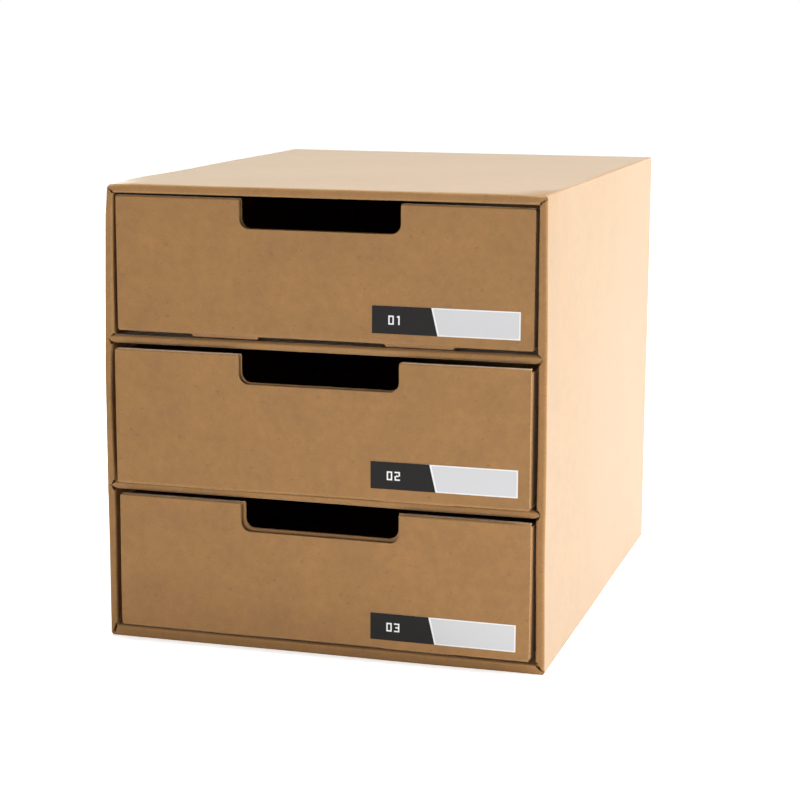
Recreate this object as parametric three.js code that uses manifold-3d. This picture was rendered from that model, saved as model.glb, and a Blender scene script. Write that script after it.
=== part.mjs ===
// A desk file box with three drawers, folded from corrugated kraft board.
//
// A wrapped case with rolled front edges is lined inside, tier by tier. Two folded shelves lie in the
// slots between the side linings. Each drawer is a folded tray whose front is a double wall with a
// hand notch, locked by two tongues that pass through the floor, and carries a paper label.
//
// Millimetres. +X is to the right seen from the front, +Y to the back, +Z up.
// The origin is on the underside, at the middle of the case.

import * as THREE from "three";
import { mergeVertices } from "three/addons/utils/BufferGeometryUtils.js";
import Module from "manifold-3d";

const wasm = await Module();
wasm.setup();

// The board

const board = 1.5; // one layer of corrugated board
const creaseInside = 0.4; // inside radius of a fold
const creaseRadius = board + creaseInside; // outside radius of a fold
const seat = 0.3; // gap between pieces that rest on one another

// The case

const caseWidth = 246.5;
const caseDepth = 312;
const caseHeight = 254;
const flangePlay = 0.2; // play on each side of a shelf flange between wall and lining
const rimWidth = 3 * board + 2 * flangePlay; // rolled front edge, outer face to inner face
const bottomRimRise = 2; // how much higher the bottom's rolled edge is than the others are wide
const bottomRimHeight = rimWidth + bottomRimRise;
const rimReturn = creaseRadius + seat; // how far the rolled edge turns back inside
const mitreDrop = 1.8; // how far from the case's corner the mitre comes out at the side
const mitreGapInside = 0.3; // width of the mitre gap at the opening
const mitreGapOutside = 2.2; // width of the mitre gap at the case's corner
const mitreDepth = 3.4; // how far back the mitre gap is cut

// The shelves

const shelfHollow = 1.5; // gap between the two leaves of a shelf
const shelfThickness = 2 * board + shelfHollow;
const shelfSetback = 0.3; // how far a shelf's rolled edge stands behind the case's front
const flangeDrop = 30; // how far a shelf's side flange reaches down
const flangeSetback = 12; // from the case's front to the flange
const veeDepth = 2.4; // depth of the V where a shelf meets the side rims
const veeFlare = 1.2; // how far the V opens above and below the shelf
const tipLength = 3; // length of the shelf's pointed end
const tipPlay = 0.6; // from the pointed end to the bottom of the V
const tipBluntness = 0.8; // height of the very end of the point
const rimSlit = 0.5; // slit between two side rims, beyond the V

// The back

const dustFlapWidth = 78;
const dustFlapTaper = 9; // how much the flap narrows in height at each end
const sheetCorner = 4; // rounded free corners of flat leaves

// The drawers

const sidePlay = 2.2; // from a drawer's side to the lining
const frontPlay = 3; // how much lower a drawer's front is than its bay
const rearPlay = 0.5; // from the back of a closed drawer to the back of the case
const homeRecess = 0.3; // how far behind the case's front a closed drawer stands
const flapPlay = 0.35; // play on each side of a corner flap inside the double wall
const flapClearance = 5; // from a corner flap to the tongue beside it
const notchWidth = 90;
const notchDepth = 16;
const notchCorner = 5.5; // radius at the bottom of the hand notch
const notchMouth = 1.6; // radius where the notch meets the top edge
const tongueWidth = 38;
const tongueSpacing = 109; // between the middles of the two tongues
const tongueSlope = 0.5; // how much narrower each side of a tongue is at its end
const tongueLean = 14; // height over which a tongue leans forward to its slot
const tongueFoot = 2; // upright end of a tongue above the floor
const slotPlay = 0.8; // from a tongue's side to the end of its slot
const slotGap = 0.4; // between a tongue and the back of its slot
const cornerRelief = 2.4; // height of the small opening at each bottom corner, where the creases meet

// The labels

const labelWidth = 81;
const labelHeight = 14.8;
const labelThickness = 0.25;

// How the three drawers differ, as they were folded and labelled by hand: how far each stands out of
// its closed place and to the right, how far its tongues are pushed through the floor, how much
// smaller the notch of its inner leaf is, and where its label sits on the front.

const tiers = [
  {
    name: "bottom",
    standsOut: 5.3,
    toRight: 0.5,
    tongueReach: 0.6,
    notchStep: 1.5,
    labelFromSide: 6.9,
    labelFromBottom: 5,
  },
  {
    name: "middle",
    standsOut: 5.9,
    toRight: 0.3,
    tongueReach: 0.6,
    notchStep: 0.4,
    labelFromSide: 6.3,
    labelFromBottom: 6.8,
  },
  {
    name: "top",
    standsOut: 0,
    toRight: 0.2,
    tongueReach: 1.5,
    notchStep: 0,
    labelFromSide: 7.4,
    labelFromBottom: 5.6,
  },
];

// Working values

const overrun = 1; // how far a cutter passes a face
const lap = 3; // how far two parts of one folded blank share material
const foldSteps = 5; // straight steps in a quarter-round fold
const cornerSteps = 8; // straight steps in a cut round corner
const quarter = Math.PI / 2;

const front = -caseDepth / 2;
const back = caseDepth / 2;
const bayHalfWidth = caseWidth / 2 - rimWidth;
const wallInside = caseWidth / 2 - board;
const liningFront = front + rimReturn + seat;
const dustFlapFront = back - 2 * board - seat;
const liningBack = dustFlapFront - seat;
const shelvesHeight = (tiers.length - 1) * shelfThickness;
const bayHeight = (caseHeight - rimWidth - bottomRimHeight - shelvesHeight) / tiers.length;

const trayWidth = 2 * (bayHalfWidth - sidePlay);
const trayDepth = dustFlapFront - rearPlay - front - homeRecess;
const frontHeight = bayHeight - frontPlay;
const sideHeight = frontHeight - board - seat;
const frontWall = 3 * board + 2 * flapPlay;
const flapLength = trayWidth / 2 - (tongueSpacing + tongueWidth) / 2 - flapClearance;
const slotFront = board + creaseInside / 2;
const tongueFace = slotFront + seat;
const slotBack = tongueFace + board + slotGap;

const kraft = new THREE.MeshStandardMaterial({ color: 0xbb8f61, roughness: 0.9, metalness: 0 });
const kraftLight = new THREE.MeshStandardMaterial({ color: 0xc69c6e, roughness: 0.9, metalness: 0 });
const paper = new THREE.MeshStandardMaterial({ color: 0xdcdcdc, roughness: 0.55, metalness: 0 });

// Solids

/** A point of a flat outline. */
function at(u, v) {
  return new THREE.Vector2(u, v);
}

/** Turns a closed geometry into a solid that can be joined and cut. */
function solid(geometry) {
  geometry.deleteAttribute("normal");
  geometry.deleteAttribute("uv");
  const merged = mergeVertices(geometry);
  const vertProperties = merged.attributes.position.array;
  const triVerts = merged.index.array;
  return new wasm.Manifold(new wasm.Mesh({ numProp: 3, vertProperties, triVerts }));
}

/** The named mesh of a finished solid. */
function piece(name, shape, material) {
  const result = shape.getMesh();
  const geometry = new THREE.BufferGeometry();
  geometry.setAttribute("position", new THREE.BufferAttribute(result.vertProperties, 3));
  geometry.setIndex(new THREE.BufferAttribute(result.triVerts, 1));
  geometry.computeVertexNormals();
  const mesh = new THREE.Mesh(geometry, material);
  mesh.name = name;
  return mesh;
}

const AXIS_X = new THREE.Vector3(1, 0, 0);
const AXIS_Y = new THREE.Vector3(0, 1, 0);
const AXIS_Z = new THREE.Vector3(0, 0, 1);

/** Extrudes an outline drawn in Y and Z along X. */
function alongX(outline, from, to) {
  const turned = new THREE.Matrix4().makeBasis(AXIS_Y, AXIS_Z, AXIS_X);
  return extruded(outline, turned.setPosition(from, 0, 0), to - from);
}

/** Extrudes an outline drawn in X and Z along Y. */
function alongY(outline, from, to) {
  const turned = new THREE.Matrix4().makeBasis(AXIS_X, AXIS_Z, AXIS_Y.clone().negate());
  return extruded(outline, turned.setPosition(0, to, 0), to - from);
}

/** Extrudes an outline drawn in X and Y along Z. */
function alongZ(outline, from, to) {
  return extruded(outline, new THREE.Matrix4().setPosition(0, 0, from), to - from);
}

function extruded(outline, placing, depth) {
  const geometry = new THREE.ExtrudeGeometry(outline, { depth, bevelEnabled: false, steps: 1 });
  return solid(geometry.applyMatrix4(placing));
}

/** A straight block between two corners, each given as x, y and z. */
function block(low, high) {
  const size = new THREE.Vector3(...high).sub(new THREE.Vector3(...low));
  const middle = new THREE.Vector3(...low).addScaledVector(size, 1 / 2);
  const geometry = new THREE.BoxGeometry(size.x, size.y, size.z);
  return solid(geometry.translate(middle.x, middle.y, middle.z));
}

// Outlines

/** Points along an arc, both ends included. */
function arc(centre, radius, from, to, steps) {
  const points = [];
  for (let i = 0; i <= steps; i += 1) {
    const angle = from + ((to - from) * i) / steps;
    points.push(at(centre.x + radius * Math.cos(angle), centre.y + radius * Math.sin(angle)));
  }
  return points;
}

/** A rectangle with round corners. */
function roundedRectangle(left, bottom, right, top, radius) {
  return [
    ...arc(at(right - radius, bottom + radius), radius, -quarter, 0, foldSteps),
    ...arc(at(right - radius, top - radius), radius, 0, quarter, foldSteps),
    ...arc(at(left + radius, top - radius), radius, quarter, 2 * quarter, foldSteps),
    ...arc(at(left + radius, bottom + radius), radius, 2 * quarter, 3 * quarter, foldSteps),
  ];
}

/**
 * Section through a strip of board that is folded at creases. The corners trace its outer face, with
 * the board on the left of the way they run, and every fold turns to the left.
 */
function foldedStrip(corners) {
  const legs = corners.slice(1).map((corner, i) => corner.clone().sub(corners[i]).normalize());
  const inward = legs.map((leg) => at(-leg.y, leg.x));
  const outer = [corners[0]];
  const inner = [corners[0].clone().addScaledVector(inward[0], board)];
  for (let i = 1; i < legs.length; i += 1) {
    const turn = Math.acos(legs[i - 1].dot(legs[i]));
    const start = Math.atan2(-inward[i - 1].y, -inward[i - 1].x);
    const centre = corners[i].clone();
    centre.addScaledVector(legs[i - 1], -creaseRadius * Math.tan(turn / 2));
    centre.addScaledVector(inward[i - 1], creaseRadius);
    outer.push(...arc(centre, creaseRadius, start, start + turn, foldSteps));
    inner.push(...arc(centre, creaseInside, start, start + turn, foldSteps));
  }
  const end = corners[corners.length - 1];
  outer.push(end);
  inner.push(end.clone().addScaledVector(inward[inward.length - 1], board));
  return new THREE.Shape([...outer, ...inner.reverse()]);
}

/** Mirrors an outline across the middle plane for the left side, keeping the way it runs round. */
function onSide(side, points) {
  return side > 0 ? points : points.map((point) => at(-point.x, point.y)).reverse();
}

// The bays, from the bottom up

const bays = tiers.map((tier, i) => {
  const floor = bottomRimHeight + i * (bayHeight + shelfThickness);
  return { floor, ceiling: floor + bayHeight };
});

const shelfLevels = bays.slice(1).map((bay, i) => ({ low: bays[i].ceiling, high: bay.floor }));

// Case: the outer wrap with its rolled front edges

/** The outline of the case seen from the front, round at its four folds. */
function caseOutline() {
  const halfWidth = caseWidth / 2;
  return new THREE.Shape(roundedRectangle(-halfWidth, 0, halfWidth, caseHeight, creaseRadius));
}

/** The four walls, with their long edges folded. */
function sleeve() {
  const ring = caseOutline();
  const hollow = roundedRectangle(-wallInside, board, wallInside, caseHeight - board, creaseInside);
  ring.holes.push(new THREE.Path(hollow));
  return alongY(ring, front + creaseRadius + lap / 2, back);
}

/** Rolled edge of the top or bottom wall, cut to its mitres at both ends. */
function levelRim(atTop) {
  const outside = creaseRadius + lap;
  const top = atTop ? caseHeight : bottomRimHeight;
  const bottom = atTop ? caseHeight - rimWidth : 0;
  const roll = foldedStrip([
    at(front + (atTop ? outside : rimReturn), top),
    at(front, top),
    at(front, bottom),
    at(front + (atTop ? rimReturn : outside), bottom),
  ]);
  const [edge, inside] = atTop ? [top, bottom] : [bottom, top];
  const inward = atTop ? -1 : 1;
  const mitred = new THREE.Shape([
    at(-caseWidth / 2, edge),
    at(-caseWidth / 2, edge + inward * mitreDrop),
    at(-bayHalfWidth, inside),
    at(bayHalfWidth, inside),
    at(caseWidth / 2, edge + inward * mitreDrop),
    at(caseWidth / 2, edge),
  ]);
  const clip = alongY(mitred, front - overrun, front + outside + overrun);
  return alongX(roll, -caseWidth / 2, caseWidth / 2).intersect(clip);
}

/** Rolled edge of a side wall, cut to its mitres and notched for the shelves. */
function uprightRim(side) {
  const roll = foldedStrip(
    onSide(side, [
      at(bayHalfWidth, front + rimReturn),
      at(bayHalfWidth, front),
      at(caseWidth / 2, front),
      at(caseWidth / 2, front + creaseRadius + lap),
    ]),
  );
  const mitred = new THREE.Shape(
    onSide(side, [
      at(caseWidth / 2, mitreDrop),
      at(caseWidth / 2, caseHeight - mitreDrop),
      at(bayHalfWidth, caseHeight - rimWidth),
      at(bayHalfWidth, bottomRimHeight),
    ]),
  );
  const clip = alongY(mitred, front - overrun, front + creaseRadius + lap + overrun);
  let rim = alongZ(roll, 0, caseHeight).intersect(clip);
  for (const level of shelfLevels) {
    rim = rim.subtract(shelfNotch(side, level));
  }
  return rim;
}

/** The V that a shelf's pointed end lies in, and the slit beyond it. */
function shelfNotch(side, level) {
  const middle = (level.low + level.high) / 2;
  const apex = bayHalfWidth + veeDepth;
  const slope = ((level.high - level.low) / 2 + veeFlare) / veeDepth;
  const mouth = slope * (veeDepth + overrun);
  const vee = onSide(side, [
    at(bayHalfWidth - overrun, middle - mouth),
    at(apex, middle),
    at(bayHalfWidth - overrun, middle + mouth),
  ]);
  const slit = onSide(side, [
    at(bayHalfWidth, middle - rimSlit / 2),
    at(caseWidth / 2 - creaseRadius, middle - rimSlit / 2),
    at(caseWidth / 2 - creaseRadius, middle + rimSlit / 2),
    at(bayHalfWidth, middle + rimSlit / 2),
  ]);
  const rear = front + rimReturn + overrun;
  const opening = alongY(new THREE.Shape(vee), front - overrun, rear);
  return opening.add(alongY(new THREE.Shape(slit), front - overrun, rear));
}

/** The open mitre between two rolled edges at a corner of the case's front. */
function mitreGap(side, atTop) {
  const inward = atTop ? -1 : 1;
  const edge = atTop ? caseHeight : 0;
  const inner = at(bayHalfWidth, atTop ? caseHeight - rimWidth : bottomRimHeight);
  const outer = at(caseWidth / 2, edge + inward * mitreDrop);
  const along = outer.clone().sub(inner).normalize();
  const across = at(-along.y, along.x);
  inner.addScaledVector(along, -overrun);
  outer.addScaledVector(along, overrun);
  const wedge = [
    inner.clone().addScaledVector(across, -mitreGapInside / 2),
    outer.clone().addScaledVector(across, -mitreGapOutside / 2),
    outer.clone().addScaledVector(across, mitreGapOutside / 2),
    inner.clone().addScaledVector(across, mitreGapInside / 2),
  ];
  return alongY(new THREE.Shape(onSide(side, wedge)), front - overrun, front + mitreDepth);
}

/** The whole outer wrap. */
function caseWrap() {
  let wrap = sleeve();
  wrap = wrap.add(levelRim(true)).add(levelRim(false));
  wrap = wrap.add(uprightRim(1)).add(uprightRim(-1));
  wrap = wrap.intersect(alongY(caseOutline(), front, back));
  for (const side of [-1, 1]) {
    wrap = wrap.subtract(mitreGap(side, true)).subtract(mitreGap(side, false));
  }
  return wrap;
}

// Case: linings, shelves and back

/** The top or bottom inner leaf, which lies flat from the rolled edge to the back. */
function levelLining(atTop) {
  const halfWidth = wallInside - seat;
  const outline = roundedRectangle(-halfWidth, liningFront, halfWidth, liningBack, sheetCorner);
  const low = atTop ? caseHeight - rimWidth : bottomRimHeight - board;
  return alongZ(new THREE.Shape(outline), low, low + board);
}

/** The inner leaf of one side of one bay, which stands between floor and ceiling. */
function sideLining(side, bay) {
  const low = bay.floor + seat;
  const high = bay.ceiling - seat;
  const rounding = liningBack - sheetCorner;
  const outline = new THREE.Shape([
    at(liningFront, low),
    ...arc(at(rounding, low + sheetCorner), sheetCorner, -quarter, 0, foldSteps),
    ...arc(at(rounding, high - sheetCorner), sheetCorner, 0, quarter, foldSteps),
    at(liningFront, high),
  ]);
  const inner = side > 0 ? bayHalfWidth : -bayHalfWidth - board;
  return alongX(outline, inner, inner + board);
}

/** A shelf: two leaves and their rolled front edge, with flanges hooked down behind the linings. */
function shelf(level) {
  const reach = wallInside - flangePlay;
  const shelfFront = front + shelfSetback;
  const leaves = foldedStrip([
    at(liningBack, level.high),
    at(shelfFront, level.high),
    at(shelfFront, level.low),
    at(liningBack, level.low),
  ]);
  const flanges = foldedStrip([
    at(reach, level.low - flangeDrop),
    at(reach, level.low + board),
    at(-reach, level.low + board),
    at(-reach, level.low - flangeDrop),
  ]);
  let body = alongX(leaves, -reach, reach).add(alongY(flanges, front + flangeSetback, liningBack));
  const middle = (level.low + level.high) / 2;
  const tipEnd = bayHalfWidth + veeDepth - tipPlay;
  for (const side of [-1, 1]) {
    for (const half of [-1, 1]) {
      const face = middle + (half * shelfThickness) / 2;
      const waste = new THREE.Shape([
        at(side * (tipEnd - tipLength), face),
        at(side * tipEnd, middle + (half * tipBluntness) / 2),
        at(side * tipEnd, middle),
        at(side * (reach + overrun), middle),
        at(side * (reach + overrun), face + half * overrun),
        at(side * (tipEnd - tipLength), face + half * overrun),
      ]);
      body = body.subtract(alongY(waste, shelfFront - overrun, liningFront));
    }
  }
  return body;
}

/** The closing panel of the back, inside the four walls. */
function backPanel() {
  return block(
    [seat - wallInside, back - board, board + seat],
    [wallInside - seat, back, caseHeight - board - seat],
  );
}

/** A tapered flap folded in from a side wall, in front of the back panel. */
function dustFlap(side) {
  const outside = wallInside - seat;
  const inside = outside - dustFlapWidth;
  const low = board + seat;
  const high = caseHeight - board - seat;
  const outline = onSide(side, [
    at(outside, low),
    at(outside, high),
    at(inside, high - dustFlapTaper),
    at(inside, low + dustFlapTaper),
  ]);
  return alongY(new THREE.Shape(outline), dustFlapFront, dustFlapFront + board);
}

// Drawers, each in its own frame: x from the middle, y back from its front face, z up from its floor

/** Outline of the hand notch, running past the top edge. */
function notchOutline(halfWidth, depth) {
  const top = frontHeight + overrun;
  const lip = halfWidth + notchMouth;
  const lipHeight = frontHeight - notchMouth;
  const corner = halfWidth - notchCorner;
  const cornerHeight = frontHeight - depth + notchCorner;
  return new THREE.Shape([
    at(-lip, top),
    ...arc(at(-lip, lipHeight), notchMouth, quarter, 0, foldSteps),
    ...arc(at(-corner, cornerHeight), notchCorner, 2 * quarter, 3 * quarter, cornerSteps),
    ...arc(at(corner, cornerHeight), notchCorner, 3 * quarter, 4 * quarter, cornerSteps),
    ...arc(at(lip, lipHeight), notchMouth, 2 * quarter, quarter, foldSteps),
    at(lip, top),
  ]);
}

/** The corner where a side wall folds into a flap, at the front or the back of the tray. */
function trayCorner(side, atFront) {
  const edge = trayWidth / 2;
  const face = atFront ? board + flapPlay : trayDepth - board - seat;
  const wallEnd = face + (atFront ? 1 : -1) * (creaseRadius + lap);
  const corners = [at(edge - flapLength, face), at(edge, face), at(edge, wallEnd)];
  const strip = foldedStrip(onSide(side, atFront ? corners : corners.reverse()));
  return alongZ(strip, board + seat, sideHeight - seat);
}

/** The tray: floor, sides with corner flaps, back, and the outer leaf and top fold of the front. */
function tray() {
  const edge = trayWidth / 2;
  const sideFront = board + flapPlay + creaseRadius;
  const sideBack = trayDepth - board - seat - creaseRadius;
  const frontLeaf = foldedStrip([
    at(frontWall, frontHeight - rimReturn),
    at(frontWall, frontHeight),
    at(0, frontHeight),
    at(0, 0),
    at(sideFront + lap, 0),
  ]);
  const backLeaf = foldedStrip([at(sideBack - lap, 0), at(trayDepth, 0), at(trayDepth, frontHeight)]);
  let ends = alongX(frontLeaf, -edge, edge).add(alongX(backLeaf, -edge, edge));
  for (const side of [-1, 1]) {
    const outline = onSide(side, [
      at(edge - creaseRadius, -overrun),
      at(edge + overrun, -overrun),
      at(edge + overrun, cornerRelief),
      at(edge - creaseRadius, cornerRelief),
    ]);
    ends = ends.subtract(alongY(new THREE.Shape(outline), slotFront, trayDepth - slotFront));
    const underFold = onSide(side, [
      at(edge - board - seat, cornerRelief),
      at(edge + overrun, cornerRelief),
      at(edge + overrun, frontHeight - board - seat / 2),
      at(edge - board - seat, frontHeight - board - seat / 2),
    ]);
    ends = ends.subtract(alongY(new THREE.Shape(underFold), slotFront, frontWall + overrun));
  }
  const walls = foldedStrip([at(-edge, sideHeight), at(-edge, 0), at(edge, 0), at(edge, sideHeight)]);
  let body = ends.add(alongY(walls, sideFront + lap / 2, sideBack - lap / 2));
  for (const side of [-1, 1]) {
    body = body.add(trayCorner(side, true)).add(trayCorner(side, false));
    const middle = (side * tongueSpacing) / 2;
    const reach = tongueWidth / 2 + slotPlay;
    const slotLow = [middle - reach, slotFront, -overrun];
    body = body.subtract(block(slotLow, [middle + reach, slotBack, board + overrun]));
  }
  return body.subtract(alongY(notchOutline(notchWidth / 2, notchDepth), -overrun, frontWall + overrun));
}

/** The inner leaf of the front, whose tongues lean forward and pass down through the floor. */
function frontLiner(tier) {
  const edge = trayWidth / 2 - board - seat;
  const bottom = board + seat;
  const top = frontHeight - rimReturn - seat;
  let body = block([-edge, frontWall - board, bottom], [edge, frontWall, top]);
  const notch = notchOutline(notchWidth / 2 - tier.notchStep, notchDepth - tier.notchStep);
  body = body.subtract(alongY(notch, frontWall - board - overrun, frontWall + overrun));
  const leanTop = bottom + tongueFoot + tongueLean;
  const lean = new THREE.Shape([
    at(frontWall - board, leanTop + lap),
    at(frontWall - board, leanTop),
    at(tongueFace, bottom + tongueFoot),
    at(tongueFace, -tier.tongueReach),
    at(tongueFace + board, -tier.tongueReach),
    at(tongueFace + board, bottom + tongueFoot),
    at(frontWall, leanTop),
    at(frontWall, leanTop + lap),
  ]);
  for (const side of [-1, 1]) {
    const middle = (side * tongueSpacing) / 2;
    const reach = tongueWidth / 2;
    const window = [middle - reach - slotPlay, frontWall - board - overrun, bottom - overrun];
    body = body.subtract(block(window, [middle + reach + slotPlay, frontWall + overrun, leanTop]));
    const outline = new THREE.Shape([
      at(middle - reach + tongueSlope, -tier.tongueReach - overrun),
      at(middle + reach - tongueSlope, -tier.tongueReach - overrun),
      at(middle + reach, bottom + tongueFoot),
      at(middle + reach, leanTop + lap),
      at(middle - reach, leanTop + lap),
      at(middle - reach, bottom + tongueFoot),
    ]);
    const tongue = alongX(lean, middle - reach, middle + reach);
    body = body.add(tongue.intersect(alongY(outline, -overrun, frontWall + overrun)));
  }
  return body;
}

/** The paper label on the lower right of the front. */
function label(tier) {
  const right = trayWidth / 2 - tier.labelFromSide;
  const bottom = tier.labelFromBottom;
  return block([right - labelWidth, -labelThickness, bottom], [right, 0, bottom + labelHeight]);
}

// Assembly

const fileBox = new THREE.Group();

fileBox.add(
  piece("case_wrap", caseWrap(), kraft),
  piece("top_lining", levelLining(true), kraftLight),
  piece("bottom_lining", levelLining(false), kraftLight),
  piece("back_panel", backPanel(), kraft),
  piece("back_flap_left", dustFlap(-1), kraftLight),
  piece("back_flap_right", dustFlap(1), kraftLight),
  piece("shelf_lower", shelf(shelfLevels[0]), kraft),
  piece("shelf_upper", shelf(shelfLevels[1]), kraft),
);

tiers.forEach((tier, i) => {
  fileBox.add(piece(`left_lining_${tier.name}`, sideLining(-1, bays[i]), kraftLight));
  fileBox.add(piece(`right_lining_${tier.name}`, sideLining(1, bays[i]), kraftLight));

  const drawer = new THREE.Group();
  const stance = front + homeRecess - tier.standsOut;
  drawer.position.set(tier.toRight, stance, bays[i].floor + seat + tier.tongueReach);
  drawer.add(
    piece(`${tier.name}_drawer_tray`, tray(), kraft),
    piece(`${tier.name}_drawer_front_liner`, frontLiner(tier), kraftLight),
    piece(`${tier.name}_drawer_label`, label(tier), paper),
  );
  fileBox.add(drawer);
});

export default fileBox;
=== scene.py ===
"""A desk file box with three drawers, folded from thin corrugated kraft board.

Every piece is a sheet of board: a flat outline with its cuts, laid along a section that bends at the
creases. The sheets have a fluted core between two paper faces, as the real ones do. Sizes are in
millimetres, but the lamps' are in metres. +X is to the right seen from the front, +Y to the back, +Z up.
"""

import logging
import math
import random
from dataclasses import dataclass, field
from enum import Enum, IntEnum
from typing import Callable, NamedTuple, Sequence

import bmesh
import bpy
from mathutils import Matrix, Vector
from mathutils.geometry import delaunay_2d_cdt


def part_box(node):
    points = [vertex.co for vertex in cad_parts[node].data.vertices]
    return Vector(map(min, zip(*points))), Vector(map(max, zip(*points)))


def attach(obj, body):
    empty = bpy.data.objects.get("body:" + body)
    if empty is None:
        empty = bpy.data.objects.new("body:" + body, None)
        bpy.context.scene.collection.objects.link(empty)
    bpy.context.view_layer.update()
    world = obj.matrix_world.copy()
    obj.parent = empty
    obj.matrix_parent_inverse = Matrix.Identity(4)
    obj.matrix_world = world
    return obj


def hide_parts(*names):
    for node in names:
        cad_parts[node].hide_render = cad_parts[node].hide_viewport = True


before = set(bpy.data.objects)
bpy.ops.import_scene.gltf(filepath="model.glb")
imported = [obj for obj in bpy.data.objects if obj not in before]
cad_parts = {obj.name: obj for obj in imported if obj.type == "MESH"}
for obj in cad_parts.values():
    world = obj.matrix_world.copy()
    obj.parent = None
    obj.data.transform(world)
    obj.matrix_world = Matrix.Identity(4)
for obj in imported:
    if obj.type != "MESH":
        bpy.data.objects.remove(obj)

log = logging.getLogger("file_box")

MM = 0.001  # metres in a millimetre

# The board, as it is measured on the cut edges

BOARD = 1.5  # thickness of one layer
HALF = BOARD / 2
PAPER = 0.24  # thickness of a paper face
FLUTE_PITCH = 3.2  # from one wave of the core to the next
CORE_RECESS = 0.15  # how far the soft core stands back from a cut edge
WAVE_RECESS = 0.06  # how far the waves of the core stand back
WAVE_END = 0.1  # from the end of a cut edge to its first wave
FOLD = 0.5  # radius of a crease at the middle of the board
FOLD_ARC = FOLD * math.pi / 2  # length of a square crease there
OUTSIDE_FOLD = FOLD + HALF  # radius of a crease on its outer face
CRUSHED_FOLD = 0.05  # least radius on its inner face
OPENED = 0.2  # how far past a crease its opened fibres reach

SEAT = 0.3  # gap between pieces that rest on one another
TIERS = ("bottom", "middle", "top")

Flat = tuple[float, float]
Table = Sequence[Flat]
Place = Callable[[float, float, float], Vector]
Shift = Callable[[float, float], float]
Bend = Callable[[Vector], Vector]


class Flutes(Enum):
    """Which way the waves of the core run in a sheet."""

    ACROSS = "along the creases"
    ALONG = "at right angles to the creases"


class Face(Enum):
    """The sides of a sheet of board, each of which has a finish of its own."""

    OUTER = 0
    # the board's inner face, also used as painted shade on outer faces that lie inside the box
    INNER = 1
    EDGE = 2
    CORE = 3


class Side(IntEnum):
    """The two sides of the box, with the sign of x there."""

    LEFT = -1
    RIGHT = 1

    @classmethod
    def of(cls, point: Vector) -> "Side":
        """The side on which a point lies."""
        return cls.LEFT if point.x < 0 else cls.RIGHT


class Ink(Enum):
    """What shows on a label."""

    WHITE = 0
    DARK = 1
    GREY = 2


# Colour and nodes


def linear(colour: str) -> tuple[float, float, float, float]:
    """Turns an sRGB hex colour into linear light.

    Args:
        colour: a hex colour such as "#967048".

    Returns:
        Red, green, blue and alpha as linear values.
    """
    values = [int(colour[i : i + 2], 16) / 255 for i in (1, 3, 5)]
    return tuple(v / 12.92 if v <= 0.04045 else ((v + 0.055) / 1.055) ** 2.4 for v in values) + (1.0,)


WHITE = linear("#ffffff")


def add_node(
    tree: bpy.types.NodeTree, kind: str, settings: dict | None = None, links: dict | None = None
) -> bpy.types.Node:
    """Adds one node with its settings and links.

    Args:
        tree: the node tree that gets the node.
        kind: the node's type name.
        settings: values by attribute name, or by input socket name or number.
        links: output sockets by input socket name or number.

    Returns:
        The new node.
    """
    node = tree.nodes.new(kind)
    for key, value in (settings or {}).items():
        if isinstance(key, str) and hasattr(node, key):
            setattr(node, key, value)
        else:
            node.inputs[key].default_value = value
    for key, source in (links or {}).items():
        tree.links.new(source, node.inputs[key])
    return node


def start_finish(name: str, even: dict) -> tuple[bpy.types.Material, bpy.types.NodeTree, bpy.types.Node]:
    """Starts a finish with its shader.

    Args:
        name: the material's name.
        even: the values that are the same all over, by the shader's socket names.

    Returns:
        The material, its node tree and its shader.
    """
    result = bpy.data.materials.new(name)
    result.use_nodes = True
    shader = result.node_tree.nodes["Principled BSDF"]
    for socket, value in even.items():
        shader.inputs[socket].default_value = value
    return result, result.node_tree, shader


def add_to_scene(name: str, data: bpy.types.ID) -> bpy.types.Object:
    """Puts a mesh, a lamp or a camera into the scene."""
    result = bpy.data.objects.new(name, data)
    bpy.context.scene.collection.objects.link(result)
    return result


# Finishes


@dataclass(frozen=True)
class Grain:
    """One noise pattern of the paper."""

    across: float  # size of its grains in mm across the flutes
    along: float  # their size in mm along the flutes
    seed: float  # shifts the pattern, so that no two of them fall together
    noise: Flat  # the part of the noise that is used
    value: Flat  # what that part is turned into
    detail: float = 2.0  # how many finer layers the noise has

    def add_to(self, tree: bpy.types.NodeTree, flat: bpy.types.NodeSocket) -> bpy.types.NodeSocket:
        """Adds the pattern on a sheet's flat coordinates.

        Args:
            tree: the material's nodes.
            flat: the flat coordinates, in metres.

        Returns:
            The pattern's value.
        """
        scale = (1 / (self.across * MM), 1 / (self.along * MM), 1.0)
        layout = {"Scale": scale, "Location": (self.seed, self.seed, self.seed)}
        grid = add_node(tree, "ShaderNodeMapping", layout, {"Vector": flat}).outputs["Vector"]
        kind = {"Scale": 1.0, "Detail": self.detail}
        noise = add_node(tree, "ShaderNodeTexNoise", kind, {"Vector": grid}).outputs["Fac"]
        span = dict(zip(("From Min", "From Max", "To Min", "To Max"), (*self.noise, *self.value)))
        return add_node(tree, "ShaderNodeMapRange", span, {"Value": noise}).outputs["Result"]


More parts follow.
